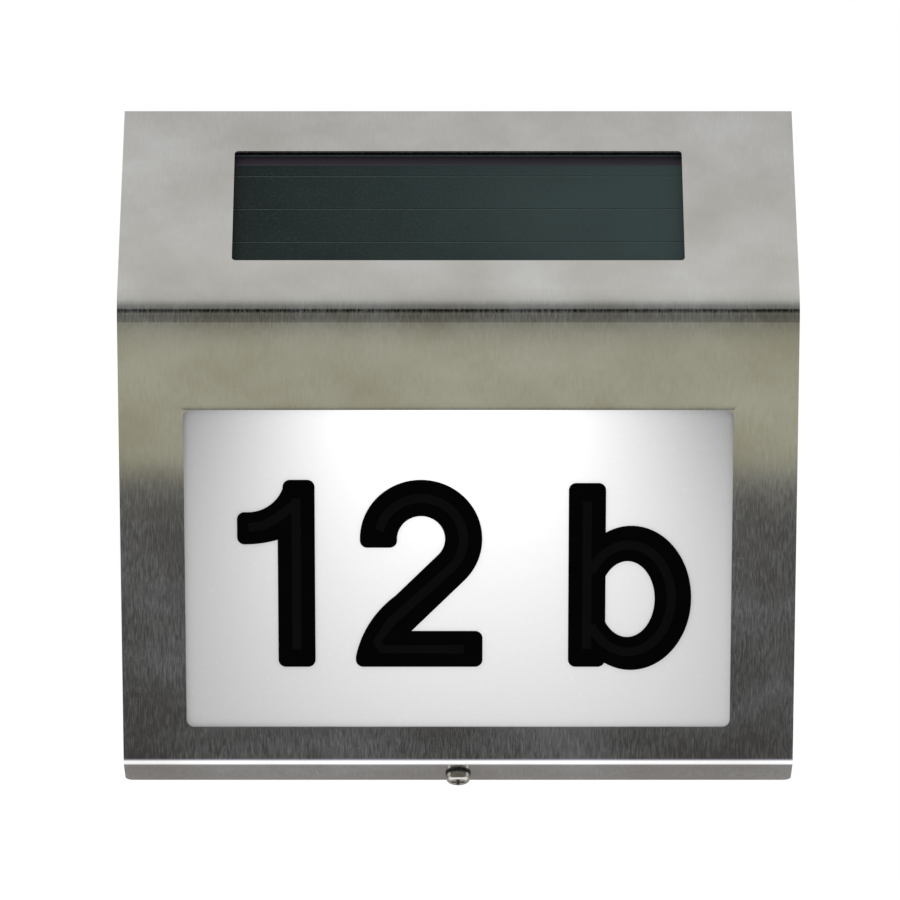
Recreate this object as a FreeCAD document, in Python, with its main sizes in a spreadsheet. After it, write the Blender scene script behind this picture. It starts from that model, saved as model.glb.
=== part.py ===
"""Solar house number light: a bent stainless hood that hooks over a wall box and swings up.

Millimetres, +Z up, wall face at y = 0, front towards -Y, origin at the middle of the wall face.
"""
import FreeCAD, Part
import math
import os
import Sketcher
from FreeCAD import Rotation, Vector

doc = FreeCAD.newDocument("house_number_light")

# ---------------------------------------------------------------- driving dimensions
SIZES = (
    ("hood_width", 180, "width of the bent hood"),
    ("hood_height", 181, "top bend to lower flange edge"),
    ("sheet_gauge", 0.8, "stainless sheet of hood and wall box"),
    ("fold_depth", 46.6, "wall to the sharp corner of the fold"),
    ("fold_radius", 10, "outer radius of the fold"),
    ("hook_depth", 4.8, "wall to the rear of the hook behind the top bend"),
    ("top_radius", 1.2, "outer radius of the hook bend"),
    ("hook_length", 7, "top bend to the lower end of the hook"),
    ("hook_gap", 0.3, "hook's lower end above the channel floor"),
    ("roof_tilt", 37, "degrees, roof from vertical"),
    ("face_lean", 15.9, "degrees, number face from vertical"),
    ("flange_drop", 25, "degrees, lower flange below horizontal"),
    ("flange_radius", 3, "outer radius of the lower bend"),
    ("flange_back", 0.5, "wall to the free edge of the lower flange"),
    ("solar_width", 120, "window in the roof, across"),
    ("solar_length", 37.6, "window in the roof, up the slope"),
    ("solar_rise", 33.6, "fold corner to middle of the roof window"),
    ("solar_corner", 1, "corner radius of the roof window"),
    ("number_width", 145.8, "window in the face, across"),
    ("number_length", 88.3, "window in the face, up the slope"),
    ("number_fall", 73.1, "fold corner to middle of the face window"),
    ("number_corner", 2, "corner radius of the face window"),
    ("gasket_depth", 2, "foam frame between roof and panel"),
    ("gasket_reveal", 1, "foam frame stands back from the window edge"),
    ("panel_margin", 4, "panel beyond the roof window at each end"),
    ("panel_lap", 1.7, "panel beyond the roof window, above and below"),
    ("panel_depth", 2, "thickness of the panel's carrier plate"),
    ("cell_film", 0.2, "thickness of the cell strips"),
    ("cell_pitch", 11.3, "spacing of the cell strips"),
    ("cell_gap", 0.35, "scribed line between two strips"),
    ("cell_count", 4, "number of cell strips"),
    ("first_scribe", 12.3, "window middle up to the highest scribed line"),
    ("shell_wall", 1.2, "moulded walls of the light box"),
    ("lamp_bay", 11.7, "deep part of the light box beside the cell, along the slope"),
    ("cell_room", 0.8, "bay depth beyond the cell's diameter"),
    ("cover_depth", 1.4, "thickness of the rear cover"),
    ("part_gap", 0.1, "clearance between pieces that are dropped in"),
    ("ear_length", 9.5, "fixing ear beyond the light box end"),
    ("ear_width", 12, "fixing ear along the slope"),
    ("stud_size", 3, "welded stud diameter"),
    ("stud_length", 8, "welded stud below the roof sheet"),
    ("nut_flats", 5.5, "stud nut and clinch nut across flats"),
    ("nut_height", 2.4, "stud nut height"),
    ("boss_size", 4.8, "screw boss diameter in the light box"),
    ("box_screw_size", 2, "self-tapping screw diameter"),
    ("box_screw_length", 7, "depth of the screw pilots"),
    ("divider_x", -2, "wall at the positive end of the cell"),
    ("contact_room", 1, "positive end of the cell to its wall"),
    ("cell_slack", 0.5, "cover opening beyond the cell ends"),
    ("spring_room", 4, "spring length when the cell is in"),
    ("lamp_room", 3, "wire passage above the cell's side wall"),
    ("cell_diameter", 14.3, "rechargeable cell diameter"),
    ("cell_length", 50.5, "rechargeable cell length"),
    ("spring_wire", 0.8, "contact spring wire"),
    ("spring_turns", 3, "contact spring turns"),
    ("lid_depth", 1.2, "battery lid thickness"),
    ("lid_gap", 0.15, "lid to cover and rails"),
    ("lid_lap", 1.2, "lid beyond its opening"),
    ("lid_travel", 50, "how far the lid slides"),
    ("rail_cap", 0.8, "thickness of the rails' caps"),
    ("rail_lip", 1, "how far the caps reach over the lid"),
    ("grip_rib", 0.8, "height and width of the grip ribs"),
    ("grip_ribs", 5, "number of grip ribs on the lid"),
    ("led_size", 5, "lamp diameter"),
    ("led_spread", 44, "distance between the two lamps"),
    ("led_length", 8.6, "lamp base to tip"),
    ("led_depth", 4.35, "tray to the lamp axis"),
    ("led_base", 16.4, "window middle down to the lamp base"),
    ("leg_size", 0.5, "lamp legs"),
    ("leg_pitch", 2.54, "spacing of the lamp legs"),
    ("board_depth", 1.2, "circuit board thickness"),
    ("board_length", 40, "circuit board, across"),
    ("board_width", 16, "circuit board, up the slope"),
    ("board_left", 6, "near edge of the circuit board"),
    ("board_low", 15.4, "window middle down to the board's lower edge"),
    ("board_lift", 2.9, "board above the tray"),
    ("wire_size", 1.1, "insulated wire diameter"),
    ("wire_port", 50, "panel wires through the tray"),
    ("switch_x", 54, "slide switch, across"),
    ("switch_y", -5, "slide switch, up the slope"),
    ("switch_length", 8.6, "slide switch body"),
    ("switch_width", 4.4, "slide switch body"),
    ("switch_depth", 3.6, "slide switch body"),
    ("knob_width", 2, "switch knob"),
    ("knob_reach", 1.6, "switch knob beyond the cover"),
    ("knob_slack", 0.3, "switch knob in its slots"),
    ("switch_travel", 2, "throw of the slide switch"),
    ("tape_depth", 0.4, "double-sided tape behind the face"),
    ("diffuser_margin", 5, "diffuser beyond the face window"),
    ("diffuser_depth", 2, "opal sheet thickness"),
    ("figure_height", 52, "height of the figures"),
    ("figure_stroke", 9.9, "stroke width of the figures"),
    ("figure_depth", 0.6, "thickness of the figures"),
    ("figure_corner", 2, "corner radius of the figures"),
    ("figure_base", 27.42, "window middle down to the foot of the figures"),
    ("one_left", -58.9, "left edge of the figure 1"),
    ("two_left", -27.4, "left edge of the figure 2"),
    ("letter_left", 29.4, "left edge of the letter b"),
    ("screw_size", 3, "hood screw diameter"),
    ("screw_inset", 5.2, "wall to the hood screw where it crosses the flange"),
    ("head_size", 6.4, "hood screw head diameter"),
    ("head_height", 2.1, "hood screw head height"),
    ("washer_size", 6.8, "sealing washer diameter"),
    ("washer_depth", 0.5, "sealing washer thickness"),
    ("running_gap", 0.04, "radial clearance of screw and thread bore"),
    ("clinch_height", 2.5, "clinch nut above the flange"),
    ("clinch_wall", 0.6, "clinch nut wall where it sits in the flange"),
    ("flange_tip", 2, "corner radius of the flange tips"),
    ("plate_gauge", 1, "back plate of the wall box"),
    ("cheek_gap", 0.4, "wall box cheek to the inside of the hood"),
    ("cheek_setback", 0.8, "wall box cheek back from the hood's side edge"),
    ("channel_width", 1.2, "free gap in front of the hanging hook"),
    ("channel_depth", 2.6, "height of the channel's front lip"),
    ("ledge_rise", 7.5, "height of the ledge under the lower edge above the hood's lowest line"),
    ("ledge_reach", 9, "wall to the front edge of the lower ledge"),
    ("wall_hole", 4.5, "wall screw holes"),
    ("hole_span", 120, "wall screw holes, across"),
    ("hole_rise", 100, "wall screw holes, up and down"),
)

dims = doc.addObject("Spreadsheet::Sheet", "dims")
for row, (alias, size, meaning) in enumerate(SIZES, start=1):
    dims.set(f"A{row}", meaning)
    dims.set(f"B{row}", str(size))
    dims.setAlias(f"B{row}", alias)
doc.recompute()


def cell(alias):
    """A driving dimension as a plain number."""
    return float(getattr(dims, alias))


# ---------------------------------------------------------------- places that follow from them
lay = doc.addObject("App::VarSet", "lay")


def derive(kind, name, expression):
    """Add a worked-out value that follows the sheet."""
    lay.addProperty("App::Property" + kind, name)
    lay.setExpression(name, expression)
    doc.recompute()


derive("Float", "top_z", "dims.hood_height / 2")
derive("Float", "roof_tan", "tan(dims.roof_tilt)")
derive("Float", "roof_cos", "cos(dims.roof_tilt)")
derive("Float", "drop_tan", "tan(dims.flange_drop)")
derive("Float", "drop_cos", "cos(dims.flange_drop)")
derive("Float", "fold_z", "top_z - dims.top_radius + (dims.top_radius - (dims.fold_depth"
       " - dims.hook_depth - dims.top_radius) * roof_cos) / sin(dims.roof_tilt)")
derive("Float", "face_tan", "tan(dims.face_lean)")
derive("Float", "face_cos", "cos(dims.face_lean)")
derive("Float", "hook_z", "top_z - dims.hook_length")
derive("Float", "shelf_z", "hook_z - dims.hook_gap")
derive("Float", "screw_z", "-top_z + (dims.screw_inset - dims.flange_back) * drop_tan")
derive("Float", "cheek_x", "dims.hood_width / 2 - dims.cheek_setback")
derive("Float", "skin", "dims.sheet_gauge + dims.cheek_gap")
derive("Float", "panel_half", "dims.solar_width / 2 + dims.panel_margin")
derive("Float", "panel_side", "dims.solar_length / 2 + dims.panel_lap")
derive("Float", "panel_top", "-dims.sheet_gauge - dims.gasket_depth")
derive("Float", "tray_floor", "panel_top - dims.panel_depth - dims.part_gap")
derive("Float", "bay_top", "tray_floor - dims.shell_wall")
derive("Float", "bay_depth", "dims.cell_diameter + dims.cell_room")
derive("Float", "bay_length", "dims.cell_diameter + dims.lamp_bay")
derive("Float", "bay_rear", "bay_top - bay_depth")
derive("Float", "cover_rear", "bay_rear - dims.cover_depth")
derive("Float", "box_half", "panel_half + dims.part_gap + dims.shell_wall")
derive("Float", "box_side", "panel_side + dims.part_gap + dims.shell_wall")
derive("Float", "bay_high", "-box_side + bay_length")
derive("Float", "tape_rear", "-dims.sheet_gauge - dims.tape_depth")
derive("Float", "ledge_drop", "dims.hood_height / 2 - dims.ledge_rise")
derive("Float", "tip_reach",
       "(-ledge_drop - dims.running_gap / 2 - dims.screw_size / 2 - screw_z) / drop_cos")
derive("Placement", "world", "placement(vector(0; 0; 0); rotation(vector(1; 0; 0); 0))")
derive("Placement", "roof",
       "placement(vector(0; -dims.fold_depth + dims.solar_rise * sin(dims.roof_tilt);"
       " fold_z + dims.solar_rise * cos(dims.roof_tilt)); rotation(vector(1; 0; 0); 90 - dims.roof_tilt))")
derive("Placement", "face",
       "placement(vector(0; -dims.fold_depth + dims.number_fall * sin(dims.face_lean);"
       " fold_z - dims.number_fall * cos(dims.face_lean)); rotation(vector(1; 0; 0); 90 + dims.face_lean))")
derive("Placement", "flange",
       "placement(vector(0; -dims.screw_inset; screw_z);"
       " rotation(vector(1; 0; 0); 180 - dims.flange_drop))")


# ---------------------------------------------------------------- building helpers
def new_body(label, frame="world"):
    """A sub-part in one of the frames: world, roof, face or flange."""
    body = doc.addObject("PartDesign::Body", label)
    body.Label = label
    body.setExpression("Placement", "lay." + frame)
    return body


def block(body, name, size, corner, cut=False, frame=None):
    """A box with bound size and corner; cut=True takes it away."""
    kind = "PartDesign::SubtractiveBox" if cut else "PartDesign::AdditiveBox"
    box = body.newObject(kind, name)
    for prop, expression in zip(("Length", "Width", "Height"), size):
        box.setExpression(prop, expression)
    spot = "placement(vector({}; {}; {}); rotation(vector(0; 0; 1); 0))".format(*corner)
    box.setExpression("Placement", f"lay.{frame} * {spot}" if frame else spot)
    doc.recompute()
    return box


UPRIGHT = "rotation(vector(0; 0; 1); 0)"
ALONG_X = "rotation(vector(0; 1; 0); 90)"
ALONG_Y = "rotation(vector(1; 0; 0); -90)"
DOWN_Y = "rotation(vector(1; 0; 0); 90)"
DOWN_Z = "rotation(vector(1; 0; 0); 180)"


def rod(body, name, radius, length, base, cut=False, turn=UPRIGHT, frame=None):
    """A cylinder with bound radius and length; it stands on its base point along its turned Z."""
    kind = "PartDesign::SubtractiveCylinder" if cut else "PartDesign::AdditiveCylinder"
    bar = body.newObject(kind, name)
    bar.setExpression("Radius", radius)
    bar.setExpression("Height", length)
    spot = "placement(vector({}; {}; {}); {})".format(*base, turn)
    bar.setExpression("Placement", f"lay.{frame} * {spot}" if frame else spot)
    doc.recompute()
    return bar


def outline(body, name, role, corners):
    """A closed polygon sketch on an origin plane, each corner bound to the sheet."""
    plane = next(item for item in body.Origin.OriginFeatures if item.Role == role)
    sketch = body.newObject("Sketcher::SketchObject", name)
    sketch.AttachmentSupport = (plane, [""])
    sketch.MapMode = "FlatFace"
    spots = [Vector(float(sketch.evalExpression(across)), float(sketch.evalExpression(up)), 0)
             for across, up in corners]
    for start, end in zip(spots, spots[1:] + spots[:1]):
        sketch.addGeometry(Part.LineSegment(start, end))
    count = len(corners)
    for index, (across, up) in enumerate(corners):
        sketch.addConstraint(Sketcher.Constraint("Coincident", (index - 1) % count, 2, index, 1))
        for kind, expression, value in (("DistanceX", across, spots[index].x),
                                        ("DistanceY", up, spots[index].y)):
            number = sketch.addConstraint(Sketcher.Constraint(kind, -1, 1, index, 1, value))
            sketch.setExpression(f"Constraints[{number}]", expression)
    doc.recompute()
    return sketch


def pad(body, name, sketch, length, midplane=False):
    """Pad a sketch by a bound length."""
    feature = body.newObject("PartDesign::Pad", name)
    feature.Profile = sketch
    feature.setExpression("Length", length)
    feature.Midplane = midplane
    doc.recompute()
    return feature


def edges_where(feature, test):
    """Names of the edges whose middle point and length pass the test."""
    names = []
    for index, edge in enumerate(feature.Shape.Edges, start=1):
        if test(edge, edge.valueAt((edge.FirstParameter + edge.LastParameter) / 2)):
            names.append(f"Edge{index}")
    return names


def round_edges(body, name, feature, edges, radius):
    """Fillet the named edges with a bound radius."""
    fillet = body.newObject("PartDesign::Fillet", name)
    fillet.Base = (feature, edges)
    fillet.setExpression("Radius", radius)
    doc.recompute()
    return fillet


def near(point, y, z, reach=0.05):
    return abs(point.y - y) < reach and abs(point.z - z) < reach


def solid_part(label, frame, shape):
    """A sub-part whose shape is made by functions from sheet sizes."""
    part = doc.addObject("Part::Feature", label)
    part.Label = label
    part.Shape = Part.makeCompound([shape])
    part.setExpression("Placement", "lay." + frame)
    return part


def wire_run(points, radius, bend):
    """A round wire through straight runs joined by tangent arcs."""
    edges = []
    last = points[0]
    for before, corner, after in zip(points, points[1:], points[2:]):
        into = (corner - before).normalize()
        away = (after - corner).normalize()
        half_turn = into.getAngle(away) / 2
        trim = bend * math.tan(half_turn)
        start = corner - into * trim
        end = corner + away * trim
        middle = corner + (away - into).normalize() * bend * (1 / math.cos(half_turn) - 1)
        edges += [Part.LineSegment(last, start).toShape(), Part.Arc(start, middle, end).toShape()]
        last = end
    edges.append(Part.LineSegment(last, points[-1]).toShape())
    path = Part.Wire(edges)
    first = (points[1] - points[0]).normalize()
    section = Part.Wire([Part.makeCircle(radius, points[0], first)])
    return path.makePipeShell([section], True, False)


# ---------------------------------------------------------------- wall box
wall_box = new_body("wall_box")
block(wall_box, "back_plate", ("lay.cheek_x * 2", "dims.plate_gauge", "lay.ledge_drop + lay.shelf_z"),
      ("-lay.cheek_x", "-dims.plate_gauge", "-lay.ledge_drop"))


def roof_y(z, inset):
    """Expression: depth of the roof line, moved inwards, at height z."""
    return f"-dims.fold_depth + (({z}) - lay.fold_z) * lay.roof_tan + ({inset}) / lay.roof_cos"


def fold_corner(inset):
    """Expressions: where the roof and face lines meet, both moved inwards."""
    lift = f"({inset}) * (1 / lay.face_cos - 1 / lay.roof_cos) / (lay.roof_tan + lay.face_tan)"
    return f"-dims.fold_depth + {lift} * lay.roof_tan + ({inset}) / lay.roof_cos", f"lay.fold_z + {lift}"


def flange_z(y, inset):
    """Expression: height of the lower flange line, moved inwards, at depth y."""
    return f"-lay.top_z - (({y}) + dims.flange_back) * lay.drop_tan + ({inset}) / lay.drop_cos"


def lower_corner(inset):
    """Expressions: where the face and flange lines meet, both moved inwards."""
    run = f"lay.fold_z + lay.top_z + dims.flange_back * lay.drop_tan - ({inset}) / lay.drop_cos"
    y = (f"(-dims.fold_depth + ({inset}) / lay.face_cos + lay.face_tan * ({run}))"
         " / (1 - lay.face_tan * lay.drop_tan)")
    return y, flange_z(y, inset)


def spot(owner, corner):
    """Numbers for a pair of expressions."""
    return tuple(float(owner.evalExpression(expression)) for expression in corner)


def bend(body, name, feature, corner, radius):
    """Round the bend that runs along X through a corner of the profile."""
    y, z = spot(body, corner)
    return round_edges(body, name, feature,
                       edges_where(feature, lambda edge, middle: near(middle, y, z)), radius)


cheek_fold = fold_corner("lay.skin")
cheek_low = lower_corner("lay.skin")
cheek = outline(wall_box, "cheek_outline", "YZ_Plane", (
    ("0", "lay.shelf_z"), (roof_y("lay.shelf_z", "lay.skin"), "lay.shelf_z"),
    cheek_fold, cheek_low, ("0", flange_z("0", "lay.skin"))))
cheek_pad = pad(wall_box, "both_cheeks", cheek, "lay.cheek_x * 2", midplane=True)
block(wall_box, "box_hollow",
      ("(lay.cheek_x - dims.sheet_gauge) * 2", "dims.fold_depth", "dims.hood_height * 2"),
      ("-lay.cheek_x + dims.sheet_gauge", "-dims.plate_gauge - dims.fold_depth", "-dims.hood_height"),
      cut=True)
block(wall_box, "lower_trim",
      ("(lay.cheek_x - dims.sheet_gauge) * 2", "dims.plate_gauge * 3", "dims.hood_height"),
      ("-lay.cheek_x + dims.sheet_gauge", "-dims.plate_gauge * 2", "-lay.ledge_drop - dims.hood_height"),
      cut=True)
block(wall_box, "ledge", ("lay.cheek_x * 2", "dims.ledge_reach", "dims.sheet_gauge"),
      ("-lay.cheek_x", "-dims.ledge_reach", "-lay.ledge_drop"))
channel_reach = "dims.hook_depth + dims.channel_width + dims.sheet_gauge * 2"
channel_corner = ("-lay.cheek_x", f"-({channel_reach})", "lay.shelf_z - dims.sheet_gauge")
block(wall_box, "channel_floor", ("lay.cheek_x * 2", channel_reach, "dims.sheet_gauge"), channel_corner)
block(wall_box, "channel_lip",
      ("lay.cheek_x * 2", "dims.sheet_gauge", "dims.channel_depth + dims.sheet_gauge"), channel_corner)
y, z = spot(wall_box, cheek_fold)
fold_edges = edges_where(wall_box.Tip, lambda edge, middle: near(middle, y, z))
round_edges(wall_box, "cheek_fold", wall_box.Tip, fold_edges, "dims.fold_radius - lay.skin")
for side, side_name in ((-1, "left"), (1, "right")):
    for level, level_name in ((-1, "low"), (1, "high")):
        rod(wall_box, f"wall_hole_{side_name}_{level_name}", "dims.wall_hole / 2", "dims.plate_gauge * 4",
            (f"{side} * dims.hole_span / 2", "dims.plate_gauge * 2", f"{level} * dims.hole_rise / 2"),
            cut=True, turn=DOWN_Y)

# ---------------------------------------------------------------- hood
hood = new_body("hood")
gauge = "dims.sheet_gauge"
outer_top = ("-dims.hook_depth", "lay.fold_z + (dims.fold_depth - dims.hook_depth) / lay.roof_tan")
inner_top = (f"-dims.hook_depth - {gauge}",
             f"lay.fold_z + (dims.fold_depth - dims.hook_depth - {gauge} - {gauge} / lay.roof_cos)"
             " / lay.roof_tan")
outer_fold, inner_fold = fold_corner("0"), fold_corner(gauge)
outer_low, inner_low = lower_corner("0"), lower_corner(gauge)
flange_end = f"-dims.flange_back - {gauge} * sin(dims.flange_drop)"
profile = outline(hood, "bent_profile", "YZ_Plane", (
    ("-dims.hook_depth", "lay.hook_z"), outer_top, outer_fold, outer_low,
    (flange_end, flange_z(flange_end, "0")), ("-dims.flange_back", flange_z("-dims.flange_back", gauge)),
    inner_low, inner_fold, inner_top, (f"-dims.hook_depth - {gauge}", "lay.hook_z")))
sheet = pad(hood, "bent_sheet", profile, "dims.hood_width", midplane=True)
for name, inside, outside, radius in (("top_bend", inner_top, outer_top, "dims.top_radius"),
                                      ("fold", inner_fold, outer_fold, "dims.fold_radius"),
                                      ("low_bend", inner_low, outer_low, "dims.flange_radius")):
    sheet = bend(hood, name + "_inside", sheet, inside, f"{radius} - {gauge}")
    sheet = bend(hood, name + "_outside", sheet, outside, radius)


def window(name, frame, width, length, radius):
    """Cut a window square to the sheet and round its corners."""
    cutter = block(hood, name, (width, length, f"{gauge} * 4"),
                   (f"-({width}) / 2", f"-({length}) / 2", f"{gauge} * -2.5"), cut=True, frame=frame)
    back = getattr(lay, frame).inverse()
    half_width, half_length = cell(width[5:]) / 2, cell(length[5:]) / 2

    def at_corner(edge, middle):
        local = back.multVec(middle)
        return (abs(abs(local.x) - half_width) < 0.01 and abs(abs(local.y) - half_length) < 0.01
                and abs(local.z) < cell("sheet_gauge"))

    return round_edges(hood, name + "_corners", cutter, edges_where(cutter, at_corner), radius)


window("solar_window", "roof", "dims.solar_width", "dims.solar_length", "dims.solar_corner")
window("number_window", "face", "dims.number_width", "dims.number_length", "dims.number_corner")
spigot_radius = "dims.screw_size / 2 + dims.clinch_wall"
rod(hood, "clinch_hole", f"{spigot_radius} + dims.part_gap / 2", f"{gauge} * 4",
    ("0", "0", f"{gauge} * -2.5"), cut=True, frame="flange")
flange_tips = edges_where(
    hood.Tip, lambda edge, middle: abs(abs(middle.x) - cell("hood_width") / 2) < 0.01
    and abs(middle.y + cell("flange_back")) < cell("sheet_gauge") / 3)
round_edges(hood, "flange_tips", hood.Tip, flange_tips, "dims.flange_tip")

# ---------------------------------------------------------------- solar panel under the roof
def slab(body, name, across, along, depth, foot, cut=False):
    """A centred slab of a frame, from its foot upwards."""
    return block(body, name, (across, along, depth), (f"-({across}) / 2", f"-({along}) / 2", foot), cut=cut)


panel_size = ("lay.panel_half * 2", "lay.panel_side * 2")
gasket = new_body("solar_gasket", "roof")
slab(gasket, "frame", *panel_size, "dims.gasket_depth", "lay.panel_top")
slab(gasket, "opening", "dims.solar_width + dims.gasket_reveal * 2",
     "dims.solar_length + dims.gasket_reveal * 2", "dims.gasket_depth * 2",
     "lay.panel_top - dims.gasket_depth / 2", cut=True)

bed_size = ("dims.solar_width + dims.gasket_reveal", "dims.solar_length + dims.gasket_reveal")
panel = new_body("solar_panel", "roof")
slab(panel, "carrier", *panel_size, "dims.panel_depth", "lay.panel_top - dims.panel_depth")
slab(panel, "cell_bed", *bed_size, "dims.cell_film * 2", "lay.panel_top - dims.cell_film", cut=True)

# strips of thin film, set side by side in the bed with a scribed line between two
strips = new_body("solar_cells", "roof")
slab(strips, "film", "dims.solar_width", f"{bed_size[1]} - dims.part_gap * 2", "dims.cell_film",
     "lay.panel_top - dims.cell_film")
for scribe in range(int(cell("cell_count")) - 1):
    block(strips, f"scribe_{scribe}", ("dims.solar_width * 2", "dims.cell_gap", "dims.cell_film * 3"),
          ("-dims.solar_width", f"dims.first_scribe - {scribe} * dims.cell_pitch - dims.cell_gap / 2",
           "lay.panel_top - dims.cell_film * 2"), cut=True)

# ---------------------------------------------------------------- light box behind the panel
wall, slack = "dims.shell_wall", "dims.part_gap"
light_box = new_body("light_box", "roof")
slab(light_box, "tray", "lay.box_half * 2", "lay.box_side * 2", "lay.panel_top - lay.bay_top",
     "lay.bay_top")
slab(light_box, "panel_seat", f"(lay.panel_half + {slack}) * 2", f"(lay.panel_side + {slack}) * 2",
     "dims.panel_depth * 2", "lay.tray_floor", cut=True)
block(light_box, "deep_bay", ("lay.box_half * 2", "lay.bay_length", "lay.bay_top - lay.bay_rear"),
      ("-lay.box_half", "-lay.box_side", "lay.bay_rear"))
block(light_box, "bay_hollow", (f"(lay.box_half - {wall}) * 2", f"lay.bay_length - {wall} * 2",
                                "lay.bay_depth + dims.panel_depth"),
      (f"-lay.box_half + {wall}", f"-lay.box_side + {wall}", "lay.bay_rear - dims.panel_depth"), cut=True)
boss_inset = f"({wall} / 2 + dims.boss_size / 2)"
boss_x = f"lay.box_half - {boss_inset}"
boss_low = f"-lay.box_side + {boss_inset}"
boss_high = f"lay.bay_high - {boss_inset}"
BOSSES = [(f"{side} * ({boss_x})", level) for side in (-1, 1) for level in (boss_low, boss_high)]
for number, (x, y) in enumerate(BOSSES):
    rod(light_box, f"boss_{number}", "dims.boss_size / 2", "lay.bay_depth", (x, y, "lay.bay_rear"))
for number, (x, y) in enumerate(BOSSES):
    rod(light_box, f"pilot_{number}", "dims.box_screw_size / 2", "dims.box_screw_length",
        (x, y, "lay.bay_rear - 0.01"), cut=True)
cell_low = f"lay.bay_high - {wall} - dims.cell_diameter - {slack} * 2"
cell_left = "dims.divider_x - dims.contact_room - dims.cell_length"
rib_left = f"{cell_left} - dims.spring_room - {wall}"
for name, x in (("cell_divider", "dims.divider_x"), ("spring_rib", rib_left)):
    block(light_box, name, (wall, f"dims.cell_diameter + {slack} * 2 + {wall} * 1.5", "lay.bay_depth"),
          (x, f"{cell_low} - {wall}", "lay.bay_rear"))
block(light_box, "cell_side",
      (f"dims.divider_x - ({rib_left}) + {wall} / 2", wall, "lay.bay_depth - dims.lamp_room"),
      (rib_left, f"{cell_low} - {wall}", "lay.bay_rear"))
for end in (0, 1):
    block(light_box, f"board_rib_{end}",
          (wall, "dims.board_width - dims.boss_size", f"dims.board_lift + {wall} / 2"),
          (f"dims.board_left + {end} * (dims.board_length - {wall})",
           "-dims.board_low + dims.boss_size / 2", "lay.bay_top - dims.board_lift"))
for side, name in ((-1, "left"), (1, "right")):
    block(light_box, f"ear_{name}", (f"dims.ear_length + {wall} / 2", "dims.ear_width", "dims.panel_depth"),
          (f"{side} * lay.box_half" + (" - dims.ear_length" if side < 0 else f" - {wall} / 2"),
           "-dims.ear_width / 2", "lay.panel_top - dims.panel_depth"))
for side, name in ((-1, "left"), (1, "right")):
    rod(light_box, f"stud_hole_{name}", f"dims.stud_size / 2 + {slack}", "dims.panel_depth * 3",
        (f"{side} * (lay.box_half + dims.ear_length / 2)", "0", "lay.panel_top - dims.panel_depth * 2"),
        cut=True)
    rod(light_box, f"lamp_port_{name}", f"dims.led_size / 2 + {slack} / 2", f"{wall} * 4",
        (f"{side} * dims.led_spread / 2", f"-lay.box_side - {wall} * 2", "lay.bay_top - dims.led_depth"),
        cut=True, turn=ALONG_Y)
block(light_box, "wire_slot", ("dims.wire_size * 4", "dims.wire_size * 2", f"{wall} * 4"),
      ("dims.wire_port - dims.wire_size * 2", "-dims.wire_size", f"lay.bay_top - {wall}"), cut=True)

cover = new_body("light_box_cover", "roof")
block(cover, "plate", ("lay.box_half * 2", "lay.bay_length", "dims.cover_depth"),
      ("-lay.box_half", "-lay.box_side", "lay.cover_rear"))
opening_left = f"{cell_left} - dims.cell_slack * 2"
opening_low = f"{cell_low} + {slack}"
opening_length = "dims.cell_length + dims.cell_slack * 2"
opening_width = f"dims.cell_diameter + {slack}"
block(cover, "cell_opening", (opening_length, opening_width, "dims.cover_depth * 3"),
      (opening_left, opening_low, "lay.cover_rear - dims.cover_depth"), cut=True)
lid_low = f"{opening_low} - dims.lid_lap"
lid_width = f"{opening_width} + dims.lid_lap * 1.5"
lid_left = f"{opening_left} - dims.lid_lap"
lid_length = f"{opening_length} + dims.lid_lap * 2"
rail_length = f"{lid_length} + dims.lid_travel"
rail_low = f"{lid_low} - dims.lid_gap - {wall}"
rail_high = f"{lid_low} + {lid_width} + dims.lid_gap"
rail_foot = "lay.cover_rear - dims.lid_depth - dims.lid_gap * 2 - dims.rail_cap"
for name, web, cap in (("low", rail_low, rail_low), ("high", rail_high, f"{rail_high} - dims.rail_lip")):
    block(cover, f"rail_{name}", (rail_length, wall, "dims.lid_depth + dims.lid_gap * 2 + dims.rail_cap"),
          (lid_left, web, rail_foot))
    block(cover, f"rail_cap_{name}", (rail_length, f"{wall} + dims.rail_lip", "dims.rail_cap"),
          (lid_left, cap, rail_foot))
for number, (x, y) in enumerate(BOSSES):
    rod(cover, f"cover_hole_{number}", f"dims.box_screw_size / 2 + {slack}", "dims.cover_depth * 3",
        (x, y, "lay.cover_rear - dims.cover_depth"), cut=True)
knob_half = "dims.knob_width / 2"
slot_size = ("dims.knob_width + dims.switch_travel + dims.knob_slack * 2",
             "dims.knob_width + dims.knob_slack * 2")
slot_corner = (f"dims.switch_x - {knob_half} - dims.knob_slack",
               f"dims.switch_y - {knob_half} - dims.knob_slack")
block(cover, "knob_slot", slot_size + ("dims.cover_depth * 3",),
      slot_corner + ("lay.cover_rear - dims.cover_depth",), cut=True)

lid = new_body("battery_lid", "roof")
block(lid, "plate", (lid_length, lid_width, "dims.lid_depth"),
      (lid_left, lid_low, "lay.cover_rear - dims.lid_gap - dims.lid_depth"))
for rib in range(int(cell("grip_ribs"))):
    block(lid, f"grip_{rib}", ("dims.grip_rib", "dims.cell_diameter / 2", "dims.grip_rib"),
          (f"{lid_left} + dims.lid_lap * 2 + {rib} * dims.grip_rib * 2.5",
           f"{lid_low} + dims.cell_diameter / 4 + dims.lid_lap / 2",
           "lay.cover_rear - dims.lid_gap - dims.lid_depth - dims.grip_rib"))


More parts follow.
